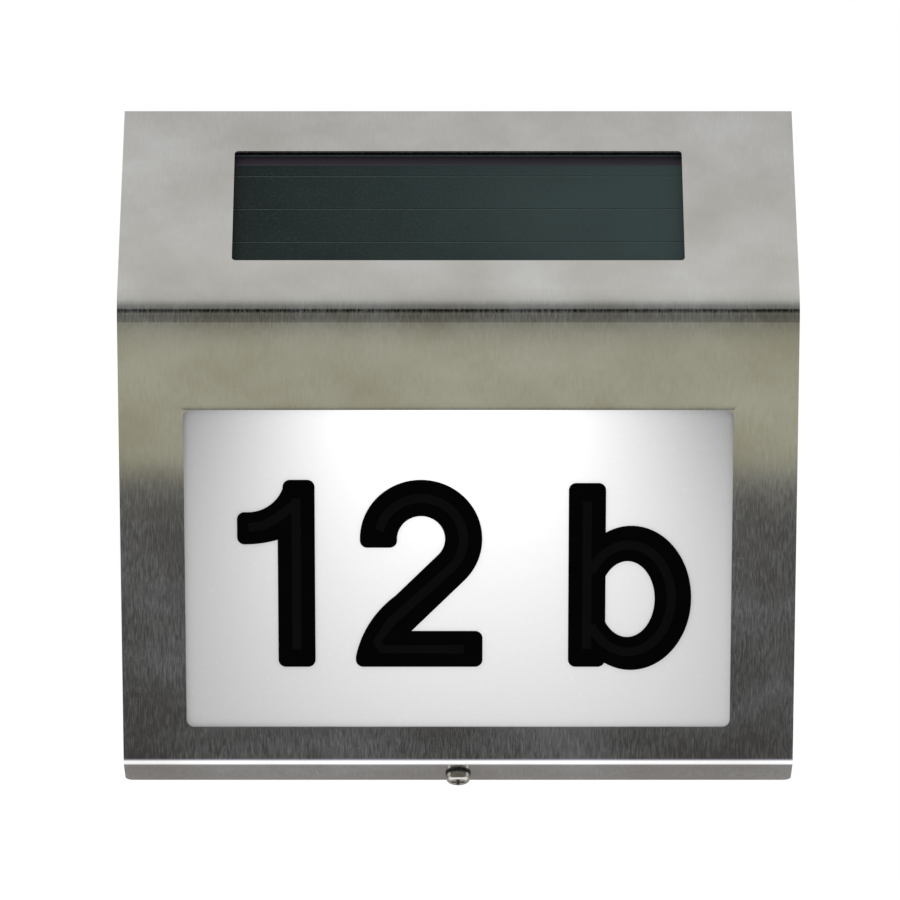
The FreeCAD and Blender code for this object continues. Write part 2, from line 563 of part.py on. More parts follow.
def screw_shape(size, length, head, head_height, recess):
    """A self-tapping screw that points along +Z from the underside of its domed head."""
    shank = Part.makeCylinder(size / 2, length - size / 2)
    point = Part.makeCone(size / 2, size / 8, size / 2, Vector(0, 0, length - size / 2))
    cap = Part.makeCylinder(head / 2, head_height, Vector(0, 0, -head_height))
    rim = [edge for edge in cap.Edges
           if edge.CenterOfMass.z < -head_height * 0.9 and len(edge.Vertexes) == 1]
    cap = cap.makeFillet(head_height * 0.45, rim)
    body = shank.fuse([point, cap]).removeSplitter()
    slot = Part.makeBox(recess, recess / 4, head_height * 0.6,
                        Vector(-recess / 2, -recess / 8, -head_height))
    return body.cut(slot).cut(slot.rotated(Vector(0, 0, 0), Vector(0, 0, 1), 90))


def group(label, frame, shapes):
    """Several equal loose solids in one node."""
    return solid_part(label, frame, Part.makeCompound(shapes))


box_screw = screw_shape(cell("box_screw_size"), cell("box_screw_length"),
                        cell("box_screw_size") * 1.9, cell("box_screw_size") * 0.65,
                        cell("box_screw_size") * 1.1)
screws = []
for x, y in BOSSES:
    turned = box_screw.copy()
    turned.translate(Vector(float(lay.evalExpression(x)), float(lay.evalExpression(y)), lay.cover_rear))
    screws.append(turned)
group("box_screws", "roof", screws)

studs, nuts = [], []
for side in (-1, 1):
    x = side * (lay.box_half + cell("ear_length") / 2)
    stud = Part.makeCylinder(cell("stud_size") / 2, cell("stud_length"),
                             Vector(x, 0, -cell("sheet_gauge") - cell("stud_length")))
    studs.append(stud)
    bore = Part.makeCylinder(cell("stud_size") / 2, cell("nut_height"))
    hexagon = Part.makePolygon([Vector(cell("nut_flats") / math.sqrt(3) * math.cos(math.radians(60 * k)),
                                       cell("nut_flats") / math.sqrt(3) * math.sin(math.radians(60 * k)), 0)
                                for k in range(7)])
    nut = Part.Face(hexagon).extrude(Vector(0, 0, cell("nut_height"))).cut(bore)
    nut.translate(Vector(x, 0, lay.panel_top - cell("panel_depth") - cell("nut_height")))
    nuts.append(nut)
group("weld_studs", "roof", studs)
group("stud_nuts", "roof", nuts)

# ---------------------------------------------------------------- cell, contacts, board, lamps, switch
battery = new_body("battery_cell", "roof")
cell_axis = f"{cell_low} + {slack} + dims.cell_diameter / 2"
cell_depth = f"lay.bay_rear + {slack} + dims.cell_diameter / 2"
rod(battery, "can", "dims.cell_diameter / 2", "dims.cell_length - dims.cell_slack * 2",
    (cell_left, cell_axis, cell_depth), turn=ALONG_X)
rod(battery, "plus_end", "dims.cell_diameter * 0.19", "dims.cell_length",
    (cell_left, cell_axis, cell_depth), turn=ALONG_X)

plus = new_body("plus_contact", "roof")
block(plus, "plate", ("dims.contact_room", "dims.cell_diameter * 0.6", "dims.cell_diameter * 0.7"),
      ("dims.divider_x - dims.contact_room", f"{cell_axis} - dims.cell_diameter * 0.3",
       f"{cell_depth} - dims.cell_diameter * 0.35"))
block(plus, "relief", ("dims.contact_room", "dims.cell_diameter", "dims.cell_diameter"),
      ("dims.divider_x - dims.contact_room * 1.7", f"{cell_axis} - dims.cell_diameter / 2",
       f"{cell_depth} + dims.cell_diameter * 0.2"), cut=True)


def contact_spring():
    """Minus contact: a coil between the cell and its rib."""
    room, wire = cell("spring_room"), cell("spring_wire")
    height = room - wire
    radius = cell("cell_diameter") * 0.3
    left = float(lay.evalExpression(cell_left)) - room + wire / 2
    y, z = float(lay.evalExpression(cell_axis)), float(lay.evalExpression(cell_depth))
    quarters = int(cell("spring_turns")) * 4

    def at(step):
        angle = math.radians(90 * step)
        return Vector(left + height * step / quarters,
                      y + radius * math.cos(angle), z + radius * math.sin(angle))

    path = Part.Wire([Part.Arc(at(step), at(step + 0.5), at(step + 1)).toShape()
                      for step in range(quarters)])
    first = path.Edges[0].tangentAt(path.Edges[0].FirstParameter)
    return path.makePipeShell([Part.Wire([Part.makeCircle(wire / 2, at(0), first)])], True, False)


solid_part("battery_spring", "roof", contact_spring())

board = new_body("circuit_board", "roof")
block(board, "laminate", ("dims.board_length", "dims.board_width", "dims.board_depth"),
      ("dims.board_left", "-dims.board_low", "lay.bay_top - dims.board_lift - dims.board_depth"))
board_face = "lay.bay_top - dims.board_lift - dims.board_depth"
chip = new_body("drive_chip", "roof")
block(chip, "package", ("dims.board_length / 8", "dims.board_width / 4", "dims.board_depth * 1.2"),
      ("dims.board_left + dims.board_length * 0.55", "-dims.board_low + dims.board_width / 2",
       f"{board_face} - dims.board_depth * 1.2"))
coil = new_body("boost_coil", "roof")
rod(coil, "drum", "dims.board_width / 6", "dims.board_depth * 3",
    ("dims.board_left + dims.board_length * 0.8", "-dims.board_low + dims.board_width * 0.6", board_face),
    turn=DOWN_Z)


def lamp(x):
    """A round lamp with a domed tip and two legs; it points down the slope."""
    radius = cell("led_size") / 2
    base, z = -cell("led_base"), lay.bay_top - cell("led_depth")
    down = Vector(0, -1, 0)
    barrel = Part.makeCylinder(radius, cell("led_length") - radius, Vector(x, base, z), down)
    dome = Part.makeSphere(radius, Vector(x, base - cell("led_length") + radius, z))
    legs = [Part.makeCylinder(cell("leg_size") / 2, cell("leg_pitch"),
                              Vector(x + side * cell("leg_pitch") / 2, base - 0.2, z), Vector(0, 1, 0))
            for side in (-1, 1)]
    return barrel.fuse([dome] + legs).removeSplitter()


for side, label in ((-1, "led_left"), (1, "led_right")):
    solid_part(label, "roof", lamp(side * cell("led_spread") / 2))

switch = new_body("switch_body", "roof")
block(switch, "case", ("dims.switch_length", "dims.switch_width", "dims.switch_depth"),
      ("dims.switch_x + (dims.switch_travel - dims.switch_length) / 2",
       "dims.switch_y - dims.switch_width / 2", "lay.bay_rear"))
block(switch, "slot", slot_size + ("dims.switch_depth * 0.8",),
      slot_corner + ("lay.bay_rear - dims.switch_depth * 0.3",), cut=True)
knob = new_body("switch_knob", "roof")
block(knob, "stem",
      ("dims.knob_width", "dims.knob_width",
       "dims.switch_depth * 0.4 + dims.cover_depth + dims.knob_reach"),
      (f"dims.switch_x - {knob_half}", f"dims.switch_y - {knob_half}", "lay.cover_rear - dims.knob_reach"))


size = cell("wire_size")


def wires(label, runs):
    """Insulated wires of one pair, each through its own points in the roof frame."""
    return group(label, "roof",
                 [wire_run([Vector(*point) for point in run], size / 2, size) for run in runs])


face_z = lay.bay_top - cell("board_lift") - cell("board_depth")
board_right = cell("board_left") + cell("board_length")
port, tray_z = cell("wire_port"), lay.tray_floor
loop = size * 2.7
wires("panel_wires", [
    [(port + shift, 0, tray_z), (port + shift, 0, face_z - loop),
     (board_right - loop, shift * 2, face_z - loop), (board_right - loop, shift * 2, face_z)]
    for shift in (-size * 0.7, size * 0.7)])
lamp_y = -cell("led_base") + cell("leg_pitch") - 0.2 + size / 2
lamp_z = lay.bay_top - cell("led_depth")
lamp_x = -cell("led_spread") / 2
lamp_runs = []
for side, depth in ((-1, size * 2.7), (1, size * 4.5)):
    leg_x = lamp_x + side * cell("leg_pitch") / 2
    pad_x = cell("board_left") + size * 2 + side * size
    lamp_runs.append([(leg_x, lamp_y, lamp_z), (leg_x, lamp_y, lamp_z - depth),
                      (pad_x, lamp_y, lamp_z - depth), (pad_x, lamp_y, face_z)])
wires("lamp_wires", lamp_runs)

# ---------------------------------------------------------------- diffuser and figures behind the face
pane = ("dims.number_width + dims.diffuser_margin * 2", "dims.number_length + dims.diffuser_margin * 2")
tape = new_body("diffuser_tape", "face")
slab(tape, "frame", *pane, "dims.tape_depth", "lay.tape_rear")
slab(tape, "opening", "dims.number_width + dims.diffuser_margin / 2",
     "dims.number_length + dims.diffuser_margin / 2", "dims.tape_depth * 3",
     "lay.tape_rear - dims.tape_depth", cut=True)
diffuser = new_body("diffuser", "face")
slab(diffuser, "pane", *pane, "dims.diffuser_depth", "lay.tape_rear - dims.diffuser_depth")


def plate(edges):
    """A flat plate of figure thickness with its outline on the opal sheet."""
    face = Part.Face(Part.Wire(edges))
    return face.extrude(Vector(0, 0, cell("figure_depth")))


def line(start, end):
    return Part.LineSegment(Vector(*start, 0), Vector(*end, 0)).toShape()


def arc(start, middle, end):
    return Part.Arc(Vector(*start, 0), Vector(*middle, 0), Vector(*end, 0)).toShape()


def soften(shape, corners):
    """Round the plate's upright edges at the given outline corners."""
    chosen = [edge for edge in shape.Edges for x, y in corners
              if abs(edge.CenterOfMass.x - x) < 0.01 and abs(edge.CenterOfMass.y - y) < 0.01]
    return shape.makeFillet(cell("figure_corner"), chosen)


def on_ring(centre, radius, degrees):
    """A point on a circle, counted from its right-hand side."""
    angle = math.radians(degrees)
    return centre[0] + radius * math.cos(angle), centre[1] + radius * math.sin(angle)


def figure_one():
    """A stem with a curved flag."""
    high, stroke = cell("figure_height"), cell("figure_stroke")
    right = stroke * 2.09
    left = right - stroke
    neck, flag_top, flag_foot = (left + stroke * 0.14, high), (0, high * 0.835), (0, high * 0.66)
    notch = (left, high * 0.683)
    neck_foot = (neck[0], high * 0.955)
    shape = plate([
        line((right, 0), (right, high)), line((right, high), neck), line(neck, neck_foot),
        arc(neck_foot, (left * 0.79, high * 0.862), flag_top), line(flag_top, flag_foot),
        arc(flag_foot, (left * 0.5, high * 0.662), notch), line(notch, (left, 0)),
        line((left, 0), (right, 0))])
    return soften(shape, [(right, 0), (right, high), neck, flag_top, flag_foot, (left, 0)])


def figure_two():
    """A bowl that runs into a 45 degree diagonal and a flat foot."""
    high, stroke = cell("figure_height"), cell("figure_stroke")
    outer = high * 0.3135
    inner = outer - stroke
    middle = (outer + stroke * 0.12, high - outer)
    x, y = middle
    end = y - stroke * 0.24
    outer_end, inner_end = on_ring(middle, outer, -45), on_ring(middle, inner, -45)
    foot = (outer_end[0] - (outer_end[1] - stroke), stroke)
    right = x + outer + stroke * 0.01
    swing = (inner_end[0] - stroke * 1.15, inner_end[1] - stroke * 1.15)
    heel = (0, stroke * 0.28)
    shape = plate([
        line((x - outer, end), (x - outer, y)),
        arc((x - outer, y), (x, y + outer), (x + outer, y)),
        arc((x + outer, y), on_ring(middle, outer, -22.5), outer_end),
        line(outer_end, foot), line(foot, (right, stroke)), line((right, stroke), (right, 0)),
        line((right, 0), (0, 0)), line((0, 0), heel),
        arc(heel, (swing[0] * 0.3, swing[1] * 0.57), swing), line(swing, inner_end),
        arc(inner_end, on_ring(middle, inner, -22.5), (x + inner, y)),
        arc((x + inner, y), (x, y + inner), (x - inner, y)),
        line((x - inner, y), (x - inner, end)), line((x - inner, end), (x - outer, end))])
    return soften(shape, [(x - outer, end), (x - inner, end), (right, stroke), (right, 0), (0, 0)])


def oval(x, y, across, up):
    """An upright elliptic plate."""
    curve = Part.Ellipse(Vector(x, y + up, 0), Vector(x + across, y, 0), Vector(x, y, 0))
    return Part.Face(Part.Wire(curve.toShape())).extrude(Vector(0, 0, cell("figure_depth")))


def letter_b():
    """A stem with an oval bowl."""
    high, stroke = cell("figure_height") * 0.983, cell("figure_stroke")
    stem = Part.makeBox(stroke, high, cell("figure_depth"))
    stem = soften(stem, [(0, 0), (stroke, 0), (stroke, high), (0, high)])
    up = high * 0.389
    bowl = oval(stroke * 1.69, up - stroke * 0.07, stroke * 1.625, up + stroke * 0.02)
    bowl = bowl.cut(oval(stroke * 1.59, up - stroke * 0.1, stroke * 0.74, up - stroke * 0.93))
    trim = Part.makeBox(stroke * 0.7, high * 2, 9, Vector(-stroke * 0.2, -high / 2, -4))
    return bowl.cut(trim).fuse(stem).removeSplitter()


for label, make, left in (("number_1", figure_one, "one_left"), ("number_2", figure_two, "two_left"),
                          ("letter_b", letter_b, "letter_left")):
    figure = make()
    figure.translate(Vector(cell(left), -cell("figure_base"), lay.tape_rear))
    solid_part(label, "face", figure)

# ---------------------------------------------------------------- hood screw
clinch = new_body("clinch_nut", "flange")
rod(clinch, "spigot", spigot_radius, "dims.sheet_gauge + dims.clinch_height / 2",
    ("0", "0", "-dims.sheet_gauge - dims.clinch_height / 2"))
flats = outline(clinch, "hexagon", "XY_Plane", tuple(
    (f"dims.nut_flats / sqrt(3) * cos({60 * turn + 30})",
     f"dims.nut_flats / sqrt(3) * sin({60 * turn + 30})")
    for turn in range(6)))
flats.setExpression("AttachmentOffset.Base.z", "-dims.sheet_gauge - dims.clinch_height")
pad(clinch, "hexagon_pad", flats, "dims.clinch_height")
rod(clinch, "thread_bore", "dims.screw_size / 2 + dims.running_gap", "dims.clinch_height * 4",
    ("0", "0", "-dims.clinch_height * 2"), cut=True)

washer = new_body("sealing_washer", "flange")
rod(washer, "disc", "dims.washer_size / 2", "dims.washer_depth", ("0", "0", "0"))
rod(washer, "hole", "dims.screw_size / 2 + dims.running_gap", "dims.washer_depth * 3",
    ("0", "0", "-dims.washer_depth"), cut=True)

screw = new_body("hood_screw", "flange")
rod(screw, "shank", "dims.screw_size / 2", "lay.tip_reach + dims.washer_depth + dims.head_height / 2",
    ("0", "0", "-lay.tip_reach"))
tip = screw.newObject("PartDesign::AdditiveSphere", "round_tip")
tip.setExpression("Radius", "dims.screw_size / 2")
tip.setExpression("Placement", "placement(vector(0; 0; -lay.tip_reach); rotation(vector(0; 0; 1); 0))")
doc.recompute()
head = rod(screw, "head", "dims.head_size / 2", "dims.head_height", ("0", "0", "dims.washer_depth"))
head_top = cell("washer_depth") + cell("head_height")
crown = edges_where(head, lambda edge, middle: abs(middle.z - head_top) < 0.01)
round_edges(screw, "crown", head, crown, "dims.head_height * 0.55")
for name, size_x, size_y in (("recess_across", "dims.head_size * 0.55", "dims.head_size * 0.14"),
                             ("recess_down", "dims.head_size * 0.14", "dims.head_size * 0.55")):
    block(screw, name, (size_x, size_y, "dims.head_height"),
          (f"-{size_x} / 2", f"-{size_y} / 2", "dims.washer_depth + dims.head_height * 0.4"), cut=True)

# ---------------------------------------------------------------- check and write
doc.recompute()
for item in doc.Objects:
    if "Invalid" in item.State or "Error" in item.State:
        raise RuntimeError(f"{item.Name} failed: {item.State}")
nodes = [item for item in doc.Objects
         if item.TypeId == "PartDesign::Body" or (item.TypeId == "Part::Feature" and not item.InList)]
for node in nodes:
    if node.Shape.isNull() or not node.Shape.isValid():
        raise RuntimeError(f"{node.Label} has no valid shape")
os.makedirs("parts", exist_ok=True)
for node in nodes:
    node.Shape.exportStep(f"parts/{node.Label}.step")
    print(f"{node.Label:18s} solids {len(node.Shape.Solids)}  volume {node.Shape.Volume:10.1f} mm3")
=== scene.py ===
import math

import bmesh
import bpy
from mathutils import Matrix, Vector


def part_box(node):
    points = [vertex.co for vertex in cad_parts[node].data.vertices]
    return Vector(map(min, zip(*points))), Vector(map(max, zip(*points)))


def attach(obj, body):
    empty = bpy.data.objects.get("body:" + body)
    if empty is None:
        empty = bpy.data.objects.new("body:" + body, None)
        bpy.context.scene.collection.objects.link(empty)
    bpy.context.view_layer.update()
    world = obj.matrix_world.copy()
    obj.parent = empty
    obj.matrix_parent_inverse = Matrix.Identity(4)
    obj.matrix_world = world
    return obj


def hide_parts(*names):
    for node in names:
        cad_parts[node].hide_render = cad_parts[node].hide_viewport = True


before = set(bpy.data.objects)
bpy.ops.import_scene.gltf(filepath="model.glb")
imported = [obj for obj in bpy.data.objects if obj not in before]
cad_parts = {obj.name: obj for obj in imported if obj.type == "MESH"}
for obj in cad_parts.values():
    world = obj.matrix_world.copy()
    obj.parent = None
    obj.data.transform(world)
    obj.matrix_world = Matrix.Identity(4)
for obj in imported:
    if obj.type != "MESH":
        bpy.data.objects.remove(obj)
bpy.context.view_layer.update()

# %% [markdown]
# # An illuminated solar house number
# A bent stainless hood hangs on a wall box.  A solar panel looks out of its
# sloping roof, and an opal pane with plain figures looks out of its leaning face.
# The CAD parts arrive from model.glb with their true shape and place, so this
# lesson gives them their materials and adds the finer pieces that Blender makes
# well: moulded ridges, a spring, a winding, leads and solder.
# It works in metres, as Blender does, and names its sizes in millimetres.

MM = 0.001
FOLD_DEPTH = 46.6          # wall to the fold between roof and face
FOLD_HEIGHT = 37.416       # the fold's corner above the middle of the sign
ROOF_TILT = 37.0           # roof, degrees from vertical
FACE_LEAN = 15.9           # face, degrees from vertical
FLANGE_DROP = 25.0         # lower flange, degrees below level
SOLAR_RISE = 33.6          # fold's corner to the middle of the solar window
NUMBER_WINDOW = (145.8, 88.3)
NUMBER_FALL = 73.1         # fold's corner to the middle of the number window
SCREW_INSET = 5.2          # wall to the hood screw where it crosses the flange
SCREW_HEIGHT = -88.31      # and that crossing, seen from the middle of the sign


def tilted(y, z, degrees):
    """A frame at a point of the middle plane (mm), turned about the X axis."""
    return Matrix.Translation((0, y * MM, z * MM)) @ Matrix.Rotation(math.radians(degrees), 4, "X")


roof_turn = math.radians(ROOF_TILT)
face_turn = math.radians(FACE_LEAN)
roof_frame = tilted(-FOLD_DEPTH + SOLAR_RISE * math.sin(roof_turn),
                    FOLD_HEIGHT + SOLAR_RISE * math.cos(roof_turn), 90 - ROOF_TILT)
face_frame = tilted(-FOLD_DEPTH + NUMBER_FALL * math.sin(face_turn),
                    FOLD_HEIGHT - NUMBER_FALL * math.cos(face_turn), 90 + FACE_LEAN)
screw_frame = tilted(-SCREW_INSET, SCREW_HEIGHT, 180 - FLANGE_DROP)

# %% [markdown]
# ## Camera
# The photograph looks at the sign squarely from the height of its middle, with a
# long lens: the fold, which stands nearest, is only a little wider than the top
# edge.  The lens comes from that difference in width, so the camera is set by
# numbers and not by eye.

# %% Camera at the photograph's angle
CAMERA_PLACE = (-2.2, -1645.2, -1.0)
CAMERA_LENS = 242.84       # millimetres, on a sensor 36 mm wide

camera_data = bpy.data.cameras.new("camera")
camera_data.lens = CAMERA_LENS
camera_data.sensor_width = 36
camera_data.clip_start = 0.05
camera_data.clip_end = 60
camera = bpy.data.objects.new("camera", camera_data)
camera.location = Vector(CAMERA_PLACE) * MM
camera.rotation_euler = (math.radians(90), 0, 0)
bpy.context.scene.collection.objects.link(camera)
bpy.context.scene.camera = camera
print("camera", round(-camera.location.y, 3), "m in front of the wall")

# %% [markdown]
# ## Helpers for every material and every node tree
# Colours are written as sRGB hex, the way a colour picker shows them, and one
# function turns them into the linear values that Blender mixes.  Another adds a
# node to any tree, shader or geometry, with its settings and its links.

# %% Colour and node helpers
def linear(hex_colour):
    """An sRGB hex colour as the linear RGBA that a socket takes."""
    values = [int(hex_colour[i:i + 2], 16) / 255 for i in (1, 3, 5)]
    return [v / 12.92 if v <= 0.04045 else ((v + 0.055) / 1.055) ** 2.4 for v in values] + [1.0]


def feed(tree, node, links):
    """Give inputs a value, a hex colour, an output, or a node's first output in use."""
    for socket, value in links.items():
        if isinstance(value, bpy.types.Node):
            value = next(out for out in value.outputs if out.enabled)
        if isinstance(value, bpy.types.NodeSocket):
            tree.links.new(value, node.inputs[socket])
        elif isinstance(value, str) and value.startswith("#"):
            node.inputs[socket].default_value = linear(value)
        else:
            node.inputs[socket].default_value = value
    return node


def add_node(tree, kind, links=None, **settings):
    """Add a node with its settings and feed its inputs."""
    made = tree.nodes.new(kind)
    for name, value in settings.items():
        setattr(made, name, value)
    return feed(tree, made, links or {})


def new_material(name, **values):
    """A material with one Principled shader.  Gives the material, its tree and the shader."""
    material = bpy.data.materials.new(name)
    material.use_nodes = True
    tree = material.node_tree
    shader = tree.nodes["Principled BSDF"]
    return material, tree, feed(tree, shader, {k.replace("_", " "): v for k, v in values.items()})


def in_frame(tree, place, scale=(1, 1, 1)):
    """Object coordinates measured in one of the sign's frames, in millimetres."""
    back = place.inverted()
    return add_node(tree, "ShaderNodeMapping", {
        "Vector": add_node(tree, "ShaderNodeTexCoord").outputs["Object"],
        "Location": [t / MM * s for t, s in zip(back.to_translation(), scale)],
        "Rotation": back.to_euler(), "Scale": [s / MM for s in scale]})


def grain_noise(tree, size, detail=3.0, rough=0.5, turn=0.0):
    """Noise whose features measure size millimetres along X, Y and Z."""
    mapped = add_node(tree, "ShaderNodeMapping", {
        "Vector": add_node(tree, "ShaderNodeTexCoord").outputs["Object"],
        "Rotation": (0, turn, 0), "Scale": [1 / (s * MM) for s in size]})
    return add_node(tree, "ShaderNodeTexNoise", {
        "Vector": mapped, "Scale": 1.0, "Detail": detail, "Roughness": rough})


# %% [markdown]
# ## Stainless sheet
# The hood and the wall box are cold-rolled 304 stainless steel with a fine grain
# from top to bottom.  The eye reads it as a soft mirror: it shows the tone of
# whatever stands in front of it, with cloudy smears where hands and rain have been.
# The grain is noise stretched along the height, 0.3 mm wide and 2.8 mm long.  Fine
# scratches scatter a little light, so the grain lowers the metallic value by a few
# hundredths: the streaks show only where the sheet mirrors something dark, as on
# the sign.  The smears are slow noise in the colour, cool where they are light.
# The punch also pulls the sheet down beside the number window, so the last two
# millimetres tip towards it and mirror something darker.

# %% Brushed stainless steel
GRAIN = (0.3, 2.8, 2.8)    # a scratch's width, and its length along the sheet
SMEAR = (30.0, 30.0, 20.0)
SCRATCH_LOSS = -0.42       # metallic value that the grain takes away
SMEAR_LOSS = -0.2          # and that the smears take away
FULL_METAL = 1.27          # metallic value before both losses
DIE_ROLL_WIDTH = 2.2       # how far from the number window the sheet starts to tip
DIE_ROLL_DEPTH = 0.045     # and how far it has sunk at the window's edge


def window_distance(tree):
    """Millimetres outwards from the number window's edge, in the face's plane."""
    sides = []
    parts = add_node(tree, "ShaderNodeSeparateXYZ", {0: in_frame(tree, face_frame)}).outputs
    for part, span in zip(parts, NUMBER_WINDOW):
        size = add_node(tree, "ShaderNodeMath", {0: part}, operation="ABSOLUTE")
        sides.append(add_node(tree, "ShaderNodeMath", {0: size, 1: span / 2},
                              operation="SUBTRACT"))
    return add_node(tree, "ShaderNodeMath", {0: sides[0], 1: sides[1]}, operation="MAXIMUM")


def stainless(name, light, shade, gloss, haze, roll_depth=0.0):
    """Brushed stainless sheet between two tones.  roll_depth is for the sheet with the window."""
    material, tree, shader = new_material(name)
    grain = grain_noise(tree, GRAIN, detail=3.0, rough=0.6)
    smear = grain_noise(tree, SMEAR, detail=4.0, rough=0.5, turn=0.6)
    scratched = add_node(tree, "ShaderNodeMath", {0: grain, 1: SCRATCH_LOSS, 2: FULL_METAL},
                         operation="MULTIPLY_ADD")
    brushed = add_node(tree, "ShaderNodeMath", {0: grain, 1: 0.06, 2: gloss},
                       operation="MULTIPLY_ADD")
    near = add_node(tree, "ShaderNodeMapRange", {
        "Value": window_distance(tree), "From Max": DIE_ROLL_WIDTH, "To Min": 1.0, "To Max": 0.0})
    sunk = add_node(tree, "ShaderNodeMath", {0: near, 1: 2.0}, operation="POWER")
    rolled = add_node(tree, "ShaderNodeBump", {
        "Height": sunk, "Strength": 1.0, "Distance": roll_depth * MM}, invert=True)
    feed(tree, shader, {
        "Base Color": add_node(tree, "ShaderNodeMix", {0: smear, 6: shade, 7: light},
                               data_type="RGBA"),
        "Metallic": add_node(tree, "ShaderNodeMath", {0: smear, 1: SMEAR_LOSS, 2: scratched},
                             operation="MULTIPLY_ADD", use_clamp=True),
        "Roughness": add_node(tree, "ShaderNodeMath", {0: smear, 1: haze, 2: brushed},
                              operation="MULTIPLY_ADD"),
        "Normal": add_node(tree, "ShaderNodeBump", {
            "Height": grain, "Strength": 0.15, "Distance": 0.008 * MM, "Normal": rolled})})
    return material


hood_steel = stainless("brushed_stainless_steel", "#E4E7EC", "#B4B2AC", 0.02, 0.05,
                       roll_depth=DIE_ROLL_DEPTH)
box_steel = stainless("rolled_stainless_steel", "#CCCDCF", "#A8A6A1", 0.16, 0.14)
print("made", hood_steel.name, "and", box_steel.name)

# %% [markdown]
# ## Opal pane with the lamps' glow
# The pane is opal acrylic: white pigment in clear plastic, with a smooth skin.  Its
# base colour is a mid grey, darker than the pigment: painted shade where the glow fades.
# Two lamps under the roof sit behind it; their light on it is painted as a glow in
# the emission colour, brightest below them and fading towards the corners and the
# foot.  The painted glow is worked out in the pane's own plane from the distance to
# the lamps' middle and the depth below the window's top edge, so it stays put in every view.

# %% Opal acrylic
GLOW_HALF_WIDTH = 60.5     # how far the glow reaches sideways at the top edge
GLOW_WIDENING = 0.56       # and how much further for each millimetre of depth
GLOW_DEPTH = 138.0         # depth over which it fades to a third
GLOW_MIDDLE = -0.5         # middle of the glow at the top edge
GLOW_DRIFT = 0.085         # and how far it moves to the right for each millimetre of depth
GLOW_STRENGTH = 1.2
GLOW_SHARPNESS = 2.34
GLOW_LOST = 0.24           # taken off the painted glow all over, so its weak edges drop to none

opal, tree, shader = new_material("opal_acrylic_painted_glow_and_shade", Roughness=0.28, IOR=1.49,
                                  Emission_Strength=1.0)
across, upward, _ = add_node(
    tree, "ShaderNodeSeparateXYZ", {0: in_frame(tree, face_frame)}).outputs
depth = add_node(tree, "ShaderNodeMath", {0: upward, 1: -1.0, 2: NUMBER_WINDOW[1] / 2},
                 operation="MULTIPLY_ADD")
reach = add_node(tree, "ShaderNodeMath", {0: depth, 1: GLOW_WIDENING, 2: GLOW_HALF_WIDTH},
                 operation="MULTIPLY_ADD")
middle = add_node(tree, "ShaderNodeMath", {0: depth, 1: GLOW_DRIFT, 2: GLOW_MIDDLE},
                  operation="MULTIPLY_ADD")
aside = add_node(tree, "ShaderNodeMath", {0: across, 1: middle}, operation="SUBTRACT")
share = add_node(tree, "ShaderNodeMath", {0: aside, 1: reach}, operation="DIVIDE")
share = add_node(tree, "ShaderNodeMath", {0: share}, operation="ABSOLUTE")
share = add_node(tree, "ShaderNodeMath", {0: share, 1: GLOW_SHARPNESS}, operation="POWER")
fade = add_node(tree, "ShaderNodeMath", {0: depth, 1: 1 / GLOW_DEPTH, 2: share},
                operation="MULTIPLY_ADD")
left = add_node(tree, "ShaderNodeMath", {0: 1 / math.e, 1: fade}, operation="POWER")
# Painted glow: the lamps' light on the pane, painted into the emission colour.
painted_glow = add_node(tree, "ShaderNodeMath", {0: left, 1: GLOW_STRENGTH, 2: -GLOW_LOST},
                operation="MULTIPLY_ADD", use_clamp=True)
dust = add_node(tree, "ShaderNodeMapRange", {
    "Value": grain_noise(tree, (1.1, 1.1, 1.1), detail=2.0),
    "From Min": 0.6, "From Max": 0.75, "To Max": 0.6})
feed(tree, shader, {
    "Emission Color": painted_glow,
    # Base colour: a mid grey, painted shade for the pane where the lamps' glow fades; the dust varies
    # it at random.
    "Base Color": add_node(tree, "ShaderNodeMix", {0: dust, 6: "#A3A3A4", 7: "#AEAEAE"},
                           data_type="RGBA"),
    "Normal": add_node(tree, "ShaderNodeBump", {
        "Height": grain_noise(tree, (0.6, 0.6, 0.6)), "Strength": 0.1, "Distance": 0.01 * MM})})
print("made", opal.name)

# %% [markdown]
# ## Solar cells under resin
# Four strips of amorphous silicon lie on a printed carrier under clear resin.
# They look almost black with a green-blue tint that grows from the left to the
# right end, dusted with fine pale flecks.  Up the roof past CELL_TOP they turn a
# dull plum.  The scribed lines between the strips show the carrier's paler print.

# %% Solar cell materials
CELL_TOP = 16.0            # up the roof from the window's middle to where the plum band starts

cells, tree, shader = new_material("amorphous_silicon_under_resin", Roughness=0.6,
                                   Coat_Weight=0.25, Coat_Roughness=0.12,
                                   Specular_IOR_Level=0.1)
along, up_slope, _ = add_node(
    tree, "ShaderNodeSeparateXYZ", {0: in_frame(tree, roof_frame)}).outputs
drift = add_node(tree, "ShaderNodeMath", {
    0: grain_noise(tree, (30.0, 30.0, 20.0), detail=2.0), 1: 60.0, 2: along},
    operation="MULTIPLY_ADD")
drift = add_node(tree, "ShaderNodeMapRange", {
    "Value": drift, "From Min": -20.0, "From Max": 75.0})
tint = add_node(tree, "ShaderNodeMix", {0: drift, 6: "#0A1A1A", 7: "#2B3A3A"},
                data_type="RGBA")
fleck = add_node(tree, "ShaderNodeMapRange", {
    "Value": grain_noise(tree, (0.6, 0.6, 0.6)), "From Min": 0.5, "From Max": 0.85,
    "To Max": 0.35})
tint = add_node(tree, "ShaderNodeMix", {0: fleck, 6: tint, 7: "#3A4A4A"}, data_type="RGBA")
# Past CELL_TOP up the roof the colour turns a dull plum.
plum_band = add_node(tree, "ShaderNodeMath", {0: up_slope, 1: CELL_TOP}, operation="GREATER_THAN")
feed(tree, shader, {"Base Color": add_node(
    tree, "ShaderNodeMix", {0: plum_band, 6: tint, 7: "#322E36"}, data_type="RGBA")})

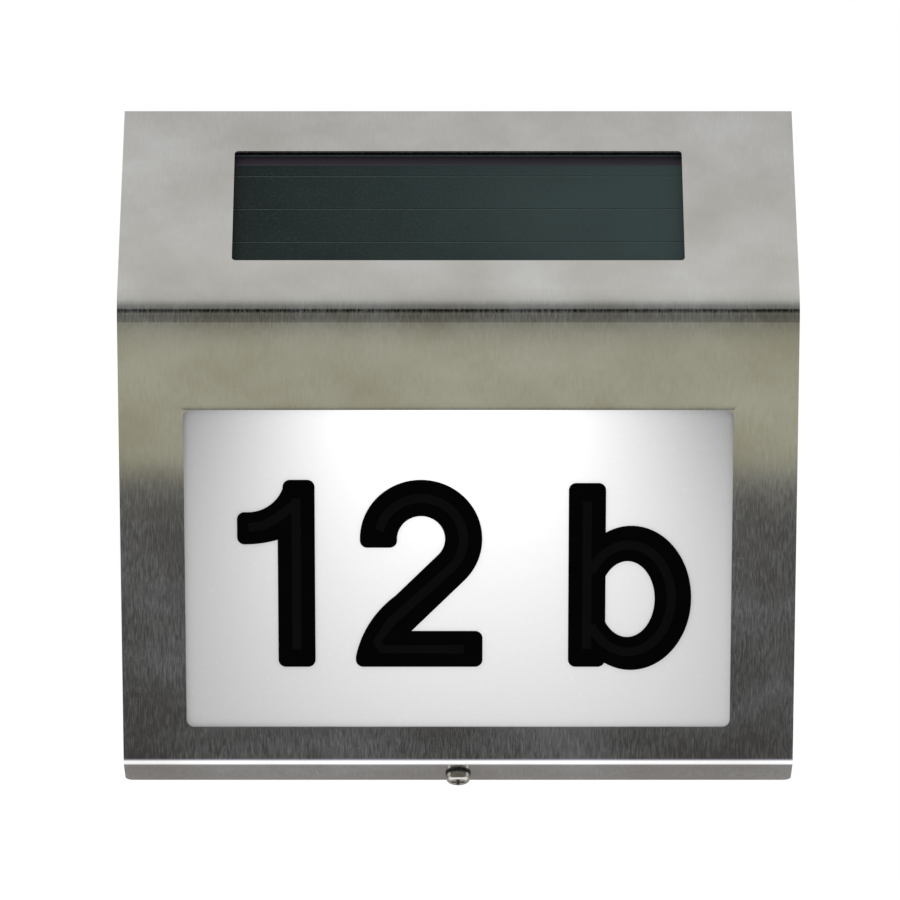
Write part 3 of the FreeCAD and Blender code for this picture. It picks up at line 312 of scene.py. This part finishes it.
carrier, tree, shader = new_material("screen_printed_carrier", Roughness=0.6,
                                     Specular_IOR_Level=0.2)
feed(tree, shader, {"Base Color": add_node(
    tree, "ShaderNodeMix", {0: grain_noise(tree, (0.8, 0.8, 0.8)), 6: "#4E5B58", 7: "#5B6866"},
    data_type="RGBA")})
print("made", cells.name, "and", carrier.name)

# %% [markdown]
# ## Plastics, rubber and foam
# Most of what is left is moulded.  Each plastic gets its own colour, gloss and
# relief: spark-eroded texture on the light box, a smooth pull on the lamp lenses,
# fine pores in the foam.  One function makes them, because they differ only in
# colour, gloss and the size and depth of the relief.  The figures are cut from
# matt black film on acrylic, which gives back almost no light at all.

# %% Moulded and extruded plastics
def moulded(name, light, shade, gloss, relief_mm, depth_mm, **values):
    """A plastic in two close tones with a relief of one size."""
    material, tree, shader = new_material(name, **values)
    relief = grain_noise(tree, (relief_mm,) * 3)
    tone = grain_noise(tree, (relief_mm * 12,) * 3, detail=2.0)
    feed(tree, shader, {
        "Base Color": add_node(tree, "ShaderNodeMix", {0: tone, 6: shade, 7: light},
                               data_type="RGBA"),
        "Roughness": add_node(tree, "ShaderNodeMath", {0: relief, 1: 0.2, 2: gloss - 0.05},
                              operation="MULTIPLY_ADD"),
        "Normal": add_node(tree, "ShaderNodeBump", {
            "Height": relief, "Strength": 0.3, "Distance": depth_mm * MM})})
    return material


figure_black = moulded("matt_black_film", "#040404", "#020202", 0.7, 0.5, 0.002,
                       Specular_IOR_Level=0.02)
# The ridge's lighter black is a painted highlight; its roughness and relief are its own.
ridge_painted_highlight = moulded("black_ridge_painted_highlight", "#0D0D0D", "#090909", 0.6, 0.5, 0.002,
                      Specular_IOR_Level=0.02)
foam = moulded("closed_cell_foam", "#070707", "#030303", 0.85, 0.7, 0.04,
               Specular_IOR_Level=0.05)
box_abs = moulded("spark_textured_abs", "#232425", "#1B1C1D", 0.5, 0.45, 0.02)
cover_abs = moulded("satin_abs_cover", "#2A2B2C", "#222324", 0.42, 0.6, 0.015)
lid_abs = moulded("ribbed_abs_lid", "#303132", "#28292A", 0.4, 0.5, 0.015)
switch_black = moulded("glass_filled_nylon", "#1A1A1A", "#131313", 0.5, 0.3, 0.01)
knob_white = moulded("acetal_white", "#D8D7D2", "#CBCAC5", 0.35, 0.6, 0.005)
tape_white = moulded("acrylic_foam_tape", "#DADAD6", "#CDCDC9", 0.7, 0.4, 0.02)
rubber = moulded("epdm_rubber", "#1D1D1D", "#141414", 0.65, 0.4, 0.02)
chip_epoxy = moulded("transfer_moulded_epoxy", "#202122", "#17181A", 0.55, 0.2, 0.01)
ferrite = moulded("sintered_ferrite", "#3A3938", "#2C2B2A", 0.55, 0.3, 0.01)
red_pvc = moulded("extruded_pvc_red", "#A32A22", "#8F211B", 0.35, 0.8, 0.004)
clear_lens = moulded("cast_epoxy_lens", "#E6EAEC", "#DCE2E6", 0.08, 2.0, 0.003,
                     IOR=1.55, Transmission_Weight=0.55)
print("made", len(bpy.data.materials), "materials so far")

# %% [markdown]
# ## Small metal parts
# Screws are cold-headed and rolled, contacts are nickel plated, nuts and box
# screws are zinc plated, and the coil is enamelled copper.  All have a soft cloud
# in their plating or skin.  The studs and the hood screw also carry a rolled
# thread of 0.5 mm pitch: fine bands along the part's own axis, kept off the
# screw's wide head by their distance from that axis.

# %% Turned, plated and drawn metals
THREAD_PITCH = 0.5


def plated(name, light, shade, gloss, cloud_mm, axis=None, thread_radius=1000.0):
    """A small metal part.  axis is the frame whose Z a rolled thread follows."""
    material, tree, shader = new_material(name, Metallic=1.0)
    cloud = grain_noise(tree, (cloud_mm,) * 3)
    relief, relief_mm = cloud, 0.004
    if axis:
        bands = add_node(tree, "ShaderNodeTexWave", {
            "Vector": in_frame(tree, axis), "Scale": 2 * math.pi / 20 / THREAD_PITCH},
            bands_direction="Z")
        spread = add_node(tree, "ShaderNodeVectorMath", {
            0: in_frame(tree, axis, scale=(1, 1, 0))}, operation="LENGTH")
        shank = add_node(tree, "ShaderNodeMath", {0: spread.outputs["Value"], 1: thread_radius},
                         operation="LESS_THAN")
        relief = add_node(tree, "ShaderNodeMath", {0: bands.outputs["Fac"], 1: shank},
                          operation="MULTIPLY")
        relief_mm = 0.12
    feed(tree, shader, {
        "Base Color": add_node(tree, "ShaderNodeMix", {0: cloud, 6: shade, 7: light},
                               data_type="RGBA"),
        "Roughness": add_node(tree, "ShaderNodeMath", {0: cloud, 1: 0.25, 2: gloss - 0.05},
                              operation="MULTIPLY_ADD"),
        "Normal": add_node(tree, "ShaderNodeBump", {
            "Height": relief, "Strength": 0.5, "Distance": relief_mm * MM})})
    return material


screw_steel = plated("cold_headed_stainless", "#CBC8C2", "#A9A6A0", 0.24, 0.9,
                     axis=screw_frame, thread_radius=1.6)
stud_steel = plated("drawn_stainless", "#BBB9B4", "#A6A49F", 0.25, 0.8, axis=roof_frame)
zinc = plated("zinc_plated_steel", "#C3C7CA", "#AEB3B8", 0.28, 1.2)
nickel = plated("nickel_plated_spring_steel", "#CBC6BA", "#B7B2A6", 0.2, 1.5)
copper = plated("enamelled_copper", "#B5653A", "#9C5230", 0.22, 0.6)
solder = plated("tin_solder", "#C4C6C8", "#ABAEB2", 0.24, 0.5)

# %% [markdown]
# ## Circuit board and rechargeable cell
# The board is glass cloth in epoxy under a green solder mask, so the cloth's weave
# shows as a faint relief.  The cell wears a plain shrink sleeve over nickelled
# steel: the sleeve stops short of the button end, where the metal shows.

# %% Solder mask and shrink sleeve
WEAVE = 0.8                # pitch of the glass cloth

board_green, tree, shader = new_material("solder_masked_glass_epoxy", Coat_Weight=0.4,
                                         Coat_Roughness=0.2)
weave = add_node(tree, "ShaderNodeTexWave", {
    "Vector": in_frame(tree, roof_frame), "Scale": 2 * math.pi / 20 / WEAVE}).outputs["Fac"]
feed(tree, shader, {
    "Base Color": add_node(tree, "ShaderNodeMix", {0: weave, 6: "#1D5A36", 7: "#25683F"},
                           data_type="RGBA"),
    "Normal": add_node(tree, "ShaderNodeBump", {
        "Height": weave, "Strength": 0.15, "Distance": 0.02 * MM})})

SLEEVE_MARGIN = 1.2        # bare steel at the button end
cell_low, cell_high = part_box("battery_cell")
sleeve, tree, shader = new_material("shrink_sleeve_over_steel", Roughness=0.3)
along = add_node(tree, "ShaderNodeSeparateXYZ", {
    0: add_node(tree, "ShaderNodeTexCoord").outputs["Object"]}).outputs["X"]
bare = add_node(tree, "ShaderNodeMath", {0: along, 1: cell_high.x - SLEEVE_MARGIN * MM},
                operation="GREATER_THAN")
wrinkle = grain_noise(tree, (1.5, 5.0, 5.0))
shrunk = add_node(tree, "ShaderNodeMix", {0: wrinkle, 6: "#2C6B4A", 7: "#347A55"},
                  data_type="RGBA")
feed(tree, shader, {
    "Base Color": add_node(tree, "ShaderNodeMix", {0: bare, 6: shrunk, 7: "#C8C5BD"},
                           data_type="RGBA"),
    "Metallic": bare,
    "Normal": add_node(tree, "ShaderNodeBump", {
        "Height": wrinkle, "Strength": 0.2, "Distance": 0.03 * MM})})

# %% Give every CAD node its material
finishes = {
    hood_steel: ["hood"], box_steel: ["wall_box"], opal: ["diffuser"],
    cells: ["solar_cells"], carrier: ["solar_panel"], foam: ["solar_gasket"],
    box_abs: ["light_box"], cover_abs: ["light_box_cover"], lid_abs: ["battery_lid"],
    figure_black: ["number_1", "number_2", "letter_b"], tape_white: ["diffuser_tape"],
    stud_steel: ["weld_studs"], zinc: ["stud_nuts", "box_screws", "clinch_nut"],
    sleeve: ["battery_cell"], nickel: ["plus_contact", "battery_spring"],
    board_green: ["circuit_board"], chip_epoxy: ["drive_chip"], ferrite: ["boost_coil"],
    clear_lens: ["led_left", "led_right"], switch_black: ["switch_body"],
    knob_white: ["switch_knob"], red_pvc: ["panel_wires", "lamp_wires"],
    rubber: ["sealing_washer"], screw_steel: ["hood_screw"],
}
for material, names in finishes.items():
    for name in names:
        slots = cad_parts[name].data.materials
        slots.clear()
        slots.append(material)
left_bare = set(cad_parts) - {name for names in finishes.values() for name in names}
print("nodes without a finish:", sorted(left_bare))

# %% [markdown]
# ## Growing pieces with Geometry Nodes
# What repeats or follows a path is grown by a node tree: a ridge along a figure,
# a spring's coil, the turns of a winding, solder on its pads.  Each tree has named
# sizes, so one tree serves several pieces.  A helper runs it, keeps the result as a
# plain mesh in its place, and lets the piece ride on its CAD body.

# %% Helpers that build and run a node tree
def sizes_tree(name, sizes):
    """A geometry tree with named sizes.  Gives the tree and its input node's outputs."""
    tree = bpy.data.node_groups.new(name, "GeometryNodeTree")
    tree.interface.new_socket("Geometry", in_out="INPUT", socket_type="NodeSocketGeometry")
    for size in sizes:
        tree.interface.new_socket(size, in_out="INPUT", socket_type="NodeSocketFloat")
    tree.interface.new_socket("Geometry", in_out="OUTPUT", socket_type="NodeSocketGeometry")
    return tree, add_node(tree, "NodeGroupInput").outputs


def close_tree(tree, geometry, material):
    """End the tree: real geometry in its material."""
    real = add_node(tree, "GeometryNodeRealizeInstances", {0: geometry})
    painted = add_node(tree, "GeometryNodeSetMaterial", {"Geometry": real, "Material": material})
    add_node(tree, "NodeGroupOutput", {0: painted})


def grow(name, tree, sizes, place, body, start=None):
    """Run a tree with its sizes, and keep the result as a plain mesh in its place."""
    source = bpy.data.objects.new(name + "_source", start or bpy.data.meshes.new(name + "_start"))
    bpy.context.scene.collection.objects.link(source)
    modifier = source.modifiers.new("grow", "NODES")
    modifier.node_group = tree
    for socket in tree.interface.items_tree:
        if socket.in_out == "INPUT" and socket.name in sizes:
            modifier[socket.identifier] = float(sizes[socket.name])
    seen = source.evaluated_get(bpy.context.evaluated_depsgraph_get())
    mesh = bpy.data.meshes.new_from_object(seen)
    source.modifiers.remove(modifier)
    bpy.data.objects.remove(source)
    work = bmesh.new()
    work.from_mesh(mesh)
    bmesh.ops.remove_doubles(work, verts=work.verts, dist=1e-7)
    bmesh.ops.transform(work, matrix=place, verts=work.verts)
    bmesh.ops.recalc_face_normals(work, faces=work.faces)
    work.to_mesh(mesh)
    work.free()
    mesh.name = name
    mesh.shade_smooth()
    piece = bpy.data.objects.new(name, mesh)
    bpy.context.scene.collection.objects.link(piece)
    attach(piece, body)
    print(name, "has", len(mesh.polygons), "faces")
    return piece


def path_mesh(name, runs):
    """Lines through points (mm), as the start of a tree.  A run that ends where it began is closed."""
    mesh = bpy.data.meshes.new(name)
    points, edges = [], []
    for run in runs:
        closed = len(run) > 2 and (Vector(run[0]) - Vector(run[-1])).length < 1e-6
        run = run[:-1] if closed else run
        first = len(points)
        points += [Vector(p).to_3d() * MM for p in run]
        edges += [(first + i, first + i + 1) for i in range(len(run) - 1)]
        edges += [(first + len(run) - 1, first)] if closed else []
    mesh.from_pydata(points, edges, [])
    return mesh


# %% [markdown]
# ## Ridges of the figures
# Each figure is moulded with a low, rounded ridge along the middle of its stroke,
# which catches a little more light than the flat around it and is painted a lighter
# black as a painted highlight.  The ridge's line is drawn once for each figure from
# the stroke and height, and a flattened circle is swept along it, half sunk into the figure.

# %% Tree: a ridge along the middle of a stroke
FIGURE_HEIGHT = 52.0
STROKE = 9.9
FIGURE_BASE = -27.42       # foot of the figures below the window's middle
FIGURE_FACE = -0.6         # figures' front below the face of the sheet
ONE_LEFT = -58.9           # left edges of the three figures
TWO_LEFT = -27.4
B_LEFT = 29.4
TWO_BOWL = 0.3135          # outer radius of the 2's bowl, as a share of the height
RIDGE_WIDTH = 2.5
RIDGE_RISE = 0.05


def ring(centre, radius, first, last, up=None):
    """Points on an arc or an upright oval, degrees counted from its right-hand side."""
    steps = max(4, int(abs(last - first) / 7.5))
    turns = [math.radians(first + (last - first) * i / steps) for i in range(steps + 1)]
    return [(centre[0] + radius * math.cos(t), centre[1] + (up or radius) * math.sin(t))
            for t in turns]


tree, size = sizes_tree("stroke_ridge", ["Width", "Rise"])
line = add_node(tree, "GeometryNodeMeshToCurve", {"Mesh": size["Geometry"]})
level = add_node(tree, "GeometryNodeSetCurveNormal", {"Curve": line}, mode="Z_UP")
section = add_node(tree, "GeometryNodeCurvePrimitiveCircle", {"Resolution": 16, "Radius": 1.0})
flat = add_node(tree, "ShaderNodeCombineXYZ", {"X": size["Width"], "Y": size["Rise"], "Z": 1.0})
oval = add_node(tree, "GeometryNodeTransform", {"Geometry": section, "Scale": flat})
ridge = add_node(tree, "GeometryNodeCurveToMesh", {
    "Curve": level, "Profile Curve": oval, "Fill Caps": True})
close_tree(tree, ridge, ridge_painted_highlight)

# %% Ridges of 1, 2 and b
half = STROKE / 2
one_x = ONE_LEFT + STROKE * 1.59       # middle of the 1's stem
ridge_one = [(one_x, half), (one_x, FIGURE_HEIGHT - half)]
ridge_flag = [(-55.9, FIGURE_HEIGHT * 0.748), (-51.6, FIGURE_HEIGHT * 0.762),
              (-47.6, FIGURE_HEIGHT * 0.81), (one_x, FIGURE_HEIGHT - half * 1.3)]

bowl_radius = FIGURE_HEIGHT * TWO_BOWL - half
bowl = (TWO_LEFT + FIGURE_HEIGHT * TWO_BOWL + STROKE * 0.12, FIGURE_HEIGHT * 0.6865)
ridge_two = ring(bowl, bowl_radius, 168, -45) + [
    (TWO_LEFT + half * 1.9, half * 2.55), (TWO_LEFT + half * 1.15, half * 1.45),
    (TWO_LEFT + half * 1.4, half), (bowl[0] + bowl_radius, half)]

b_stem = B_LEFT + half
b_high = FIGURE_HEIGHT * 0.983
b_up = b_high * 0.389
ridge_stem = [(b_stem, half), (b_stem, b_high - half)]
ridge_bowl = ring((B_LEFT + STROKE * 1.62, b_up - STROKE * 0.07), STROKE * 1.16, 150, -150,
                  up=b_up - half)

ridge_place = face_frame @ Matrix.Translation((0, FIGURE_BASE * MM, FIGURE_FACE * MM))
ridge_sizes = {"Width": RIDGE_WIDTH / 2 * MM, "Rise": RIDGE_RISE * MM}
for name, runs in (("ridge_1", [ridge_one, ridge_flag]), ("ridge_2", [ridge_two]),
                   ("ridge_b", [ridge_stem, ridge_bowl])):
    grow(name, tree, ridge_sizes, ridge_place, "hood",
         start=path_mesh(name + "_line", runs))

# %% [markdown]
# ## Battery contact spring
# The negative contact is a coil of nickel-plated spring wire, wound a little
# narrower towards the cell.  A spiral curve is a spring by itself, so the tree
# only has to sweep the wire along it.  It stands exactly where the CAD spring is,
# between the box wall and the cell.

# %% Tree: a wound wire
SPRING_WIRE = 0.8
SPRING_TURNS = 3.5

tree, size = sizes_tree("wound_wire", ["Turns", "First radius", "Last radius", "Length", "Wire"])
helix = add_node(tree, "GeometryNodeCurveSpiral", {
    "Resolution": 40, "Rotations": size["Turns"], "Start Radius": size["First radius"],
    "End Radius": size["Last radius"], "Height": size["Length"]})
section = add_node(tree, "GeometryNodeCurvePrimitiveCircle",
                   {"Resolution": 12, "Radius": size["Wire"]})
wire = add_node(tree, "GeometryNodeCurveToMesh", {
    "Curve": helix, "Profile Curve": section, "Fill Caps": True})
close_tree(tree, wire, nickel)

spring_low, spring_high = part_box("battery_spring")
cell_middle = (cell_low + cell_high) / 2
spring_radius = (spring_high.z - spring_low.z) / 2 - SPRING_WIRE / 2 * MM
spring_start = Vector((spring_low.x + SPRING_WIRE / 2 * MM, cell_middle.y, cell_middle.z))
spring = grow("contact_spring", tree, {
    "Turns": SPRING_TURNS, "First radius": spring_radius, "Last radius": spring_radius * 0.8,
    "Length": spring_high.x - spring_low.x - SPRING_WIRE * MM, "Wire": SPRING_WIRE / 2 * MM},
    Matrix.Translation(spring_start) @ Matrix.Rotation(math.radians(90), 4, "Y"),
    "hood")
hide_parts("battery_spring")

# %% [markdown]
# ## Copper winding of the coil
# The lamp driver steps the cell's voltage up with a small drum coil.  Its winding
# is a stack of close turns: one ring of enamelled wire, repeated along the drum at
# the pitch of the wire.

# %% Tree: a stack of turns
def local_box(node, place):
    """Lowest and highest corner of a CAD node in one of the sign's own frames."""
    back = place.inverted()
    points = [back @ v.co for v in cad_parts[node].data.vertices]
    return (Vector(min(p[i] for p in points) for i in range(3)),
            Vector(max(p[i] for p in points) for i in range(3)))


WINDING_WIRE = 0.3

tree, size = sizes_tree("stacked_turns", ["Turns", "Radius", "Pitch"])
step = add_node(tree, "ShaderNodeCombineXYZ", {"Z": size["Pitch"]})
stack = add_node(tree, "GeometryNodeMeshLine", {"Count": size["Turns"], "Offset": step})
turn = add_node(tree, "GeometryNodeCurvePrimitiveCircle",
                {"Resolution": 40, "Radius": size["Radius"]})
thick = add_node(tree, "ShaderNodeMath", {0: size["Pitch"], 1: 0.5}, operation="MULTIPLY")
section = add_node(tree, "GeometryNodeCurvePrimitiveCircle",
                   {"Resolution": 8, "Radius": thick})
loop = add_node(tree, "GeometryNodeCurveToMesh", {
    "Curve": turn, "Profile Curve": section})
turns = add_node(tree, "GeometryNodeInstanceOnPoints", {
    "Points": stack, "Instance": loop})
close_tree(tree, turns, copper)

drum_low, drum_high = local_box("boost_coil", roof_frame)
drum_radius = (drum_high.x - drum_low.x) / 2
turn_count = int((drum_high.z - drum_low.z) / MM / WINDING_WIRE) - 4
winding_start = Vector(((drum_low.x + drum_high.x) / 2, (drum_low.y + drum_high.y) / 2,
                        (drum_low.z + drum_high.z - (turn_count - 1) * WINDING_WIRE * MM) / 2))
grow("coil_winding", tree, {
    "Turns": turn_count, "Radius": drum_radius + WINDING_WIRE * 0.3 * MM,
    "Pitch": WINDING_WIRE * MM},
    roof_frame @ Matrix.Translation(winding_start), "hood")

# %% [markdown]
# ## Leads and solder on the board
# The driver chip stands on eight leads, and the wires end in beads of solder.
# Both are one small shape set down on a list of points: the points come from the
# chip's and the board's own boxes, so they follow the CAD model.

# %% Tree: one shape on every point
tree, size = sizes_tree("solder_beads", ["Bead"])
ball = add_node(tree, "GeometryNodeMeshUVSphere", {
    "Segments": 12, "Rings": 8, "Radius": size["Bead"]})
squat = add_node(tree, "GeometryNodeTransform", {
    "Geometry": ball, "Scale": (1.0, 1.0, 0.55)})
beads = add_node(tree, "GeometryNodeInstanceOnPoints", {
    "Points": size["Geometry"], "Instance": squat})
close_tree(tree, beads, solder)

chip_low, chip_high = local_box("drive_chip", roof_frame)
board_low, board_high = local_box("circuit_board", roof_frame)
LEADS = 4                  # on each side of the chip
LEAD_BEAD = 0.38
JOINT_BEAD = 0.95
LAMP_PADS_DOWN = -14.4     # lamp wires' pads, down the roof from the window's middle
lead_spots = [(chip_low.x + (i + 0.5) / LEADS * (chip_high.x - chip_low.x), side, board_low.z)
              for i in range(LEADS) for side in (chip_low.y, chip_high.y)]
WIRE = 1.1
lamp_pads = [(board_low.x / MM + WIRE * 2 + s * WIRE, LAMP_PADS_DOWN) for s in (-1, 1)]
panel_pads = [(board_high.x / MM - WIRE * 2.7, s * WIRE * 1.4) for s in (-1, 1)]
pad_spots = [(x * MM, y * MM, board_low.z) for x, y in lamp_pads + panel_pads]
for name, spots, bead in (("chip_leads", lead_spots, LEAD_BEAD),
                          ("solder_joints", pad_spots, JOINT_BEAD)):
    grow(name, tree, {"Bead": bead * MM}, roof_frame, "hood",
         start=path_mesh(name + "_spots", [[Vector(p) / MM] for p in spots]))

# %% [markdown]
# ## Floor, light and the studio around the sheet
# The floor is plain and pale, well below the sign, and keeps its soft shadow.  The
# world is an even white light.  Bare steel has no look of its own: it shows the
# room.  So a half-dark studio stands round the sign as a wide tube that only
# mirrors can see: light overhead, dark at the camera's height, a warm table lower
# down, a dark edge and a bright strip just in front of the sign's foot.  The real
# room is unknown: the tones are chosen so that the sheet shows from the front what
# the photograph shows.  They stand in fixed places, so they slide over the metal
# when the sign moves.

# %% Floor
FLOOR_DROP = 380.0
FLOOR_HALF = 9.0           # metres
FLOOR_LIFT = "#909090"     # what a camera or a mirror sees more, up to white

floor_mesh = bpy.data.meshes.new("floor")
work = bmesh.new()
bmesh.ops.create_grid(work, x_segments=1, y_segments=1, size=FLOOR_HALF)
work.to_mesh(floor_mesh)
work.free()
floor = bpy.data.objects.new("floor", floor_mesh)
floor.location.z = -FLOOR_DROP * MM
bpy.context.scene.collection.objects.link(floor)
floor_paint, tree, shader = new_material("pale_floor", Roughness=0.9, Specular_IOR_Level=0.0,
                                         Emission_Strength=1.0)
rays = add_node(tree, "ShaderNodeLightPath").outputs
lift = "#000000"
for ray in ("Is Camera Ray", "Is Glossy Ray", "Is Transmission Ray"):
    lift = add_node(tree, "ShaderNodeMix", {0: rays[ray], 6: lift, 7: FLOOR_LIFT},
                    data_type="RGBA")
grit = add_node(tree, "ShaderNodeTexNoise", {
    "Vector": add_node(tree, "ShaderNodeTexCoord").outputs["Object"], "Scale": 4.0})
feed(tree, shader, {
    "Emission Color": lift,
    "Base Color": add_node(tree, "ShaderNodeMix", {0: grit, 6: "#F6F6F6", 7: "#FAFAFA"},
                           data_type="RGBA")})
floor.data.materials.append(floor_paint)

# %% World: white behind the sign, even light on it
WORLD_LIGHT = 0.78         # what falls on the sign
MIRRORED_SIDES = 0.62      # what metal sees past the studio's open ends

world = bpy.data.worlds.new("even_white")
bpy.context.scene.world = world
world.use_nodes = True
tree = world.node_tree
tree.nodes.clear()
rays = add_node(tree, "ShaderNodeLightPath").outputs
strength = WORLD_LIGHT
for ray, level in (("Is Glossy Ray", MIRRORED_SIDES), ("Is Transmission Ray", 1.0),
                   ("Is Camera Ray", 1.0)):
    strength = add_node(tree, "ShaderNodeMix", {0: rays[ray], 2: strength, 3: level})
backdrop = add_node(tree, "ShaderNodeBackground", {"Color": "#FFFFFF", "Strength": strength})
add_node(tree, "ShaderNodeOutputWorld", {"Surface": backdrop})

# %% Soft lamp above and to the left
lamp_data = bpy.data.lights.new("soft_lamp", "AREA")
lamp_data.shape = "SQUARE"
lamp_data.size = 1.2
lamp_data.energy = 9.0
lamp = bpy.data.objects.new("soft_lamp", lamp_data)
lamp.location = (-0.7, -1.1, 1.3)
lamp.rotation_euler = (-lamp.location).to_track_quat("-Z", "Y").to_euler()
lamp.visible_glossy = False
bpy.context.scene.collection.objects.link(lamp)

# %% [markdown]
# ### The tones of the studio
# Each tone stands at an angle round the sign: 0 is straight ahead towards the
# camera, 90 is overhead, -90 is straight down and -180 is behind the wall.  Steel
# gives back six tenths of what it mirrors, so the studio is lit 1.7 times as
# bright as the tones are written, and they read on the sheet as written.

# %% Studio that only the metal sees
STUDIO_RADIUS = 0.3
STUDIO_HALF_LENGTH = 1.6
STUDIO_MIDDLE = -0.02
STUDIO_STRENGTH = 1.7
STUDIO_TONES = (
    (-140, "#8A8885"), (-124, "#777471"), (-119, "#737070"), (-110, "#B0ACAD"),
    (-98, "#FFFFFF"), (-74, "#FFFFFF"), (-64, "#AFA9B3"), (-58, "#5A565C"),
    (-52, "#3B3A39"), (-38, "#454443"), (-34.5, "#464543"), (-33, "#51504C"),
    (-32, "#5E5C56"), (-31.2, "#86836F"), (-30.4, "#8E8B77"), (-23.9, "#908D7A"),
    (-23.2, "#807D6F"), (-22.4, "#5E5D54"), (-11, "#53524A"), (-4, "#4C4B43"),
    (3, "#56554E"), (7.5, "#34332C"), (11, "#0D0C0A"), (15, "#0D0C0A"),
    (18, "#62615D"), (26, "#6D6C68"), (34, "#8B8A85"), (43, "#A3A29C"),
    (55, "#AAA8A2"), (75, "#AFADA8"), (86, "#A3A19E"), (130, "#A8A6A2"),
)

studio_mesh = bpy.data.meshes.new("studio")
work = bmesh.new()
bmesh.ops.create_cone(work, cap_ends=False, segments=180, radius1=STUDIO_RADIUS,
                      radius2=STUDIO_RADIUS, depth=STUDIO_HALF_LENGTH * 2,
                      matrix=Matrix.Rotation(math.radians(90), 4, "Y"))
bmesh.ops.reverse_faces(work, faces=work.faces)
work.to_mesh(studio_mesh)
work.free()
studio = bpy.data.objects.new("studio", studio_mesh)
studio.location.y = STUDIO_MIDDLE
bpy.context.scene.collection.objects.link(studio)

studio_print, tree, shader = new_material("studio_tones")
_, away, height = add_node(tree, "ShaderNodeSeparateXYZ", {
    0: add_node(tree, "ShaderNodeTexCoord").outputs["Object"]}).outputs
towards = add_node(tree, "ShaderNodeMath", {0: away, 1: -1.0}, operation="MULTIPLY")
angle = add_node(tree, "ShaderNodeMath", {0: height, 1: towards}, operation="ARCTAN2")
turn = add_node(tree, "ShaderNodeMath", {0: angle, 1: 0.5 / math.pi, 2: 0.5},
                operation="MULTIPLY_ADD")
ramp = add_node(tree, "ShaderNodeValToRGB", {"Fac": turn})
stops = ramp.color_ramp.elements
while len(stops) < len(STUDIO_TONES):
    stops.new(0.5)
for stop, (degrees, tone) in zip(stops, STUDIO_TONES):
    stop.position = (degrees + 180) / 360
for stop, (degrees, tone) in zip(stops, STUDIO_TONES):
    stop.color = linear(tone)
feed(tree, shader, {"Base Color": "#000000", "Specular IOR Level": 0.0,
                    "Emission Color": ramp.outputs["Color"],
                    "Emission Strength": STUDIO_STRENGTH})
studio.data.materials.append(studio_print)
studio.visible_camera = False
studio.visible_diffuse = False
studio.visible_transmission = False
studio.visible_volume_scatter = False
studio.visible_shadow = False
bpy.context.scene.view_settings.view_transform = "Standard"
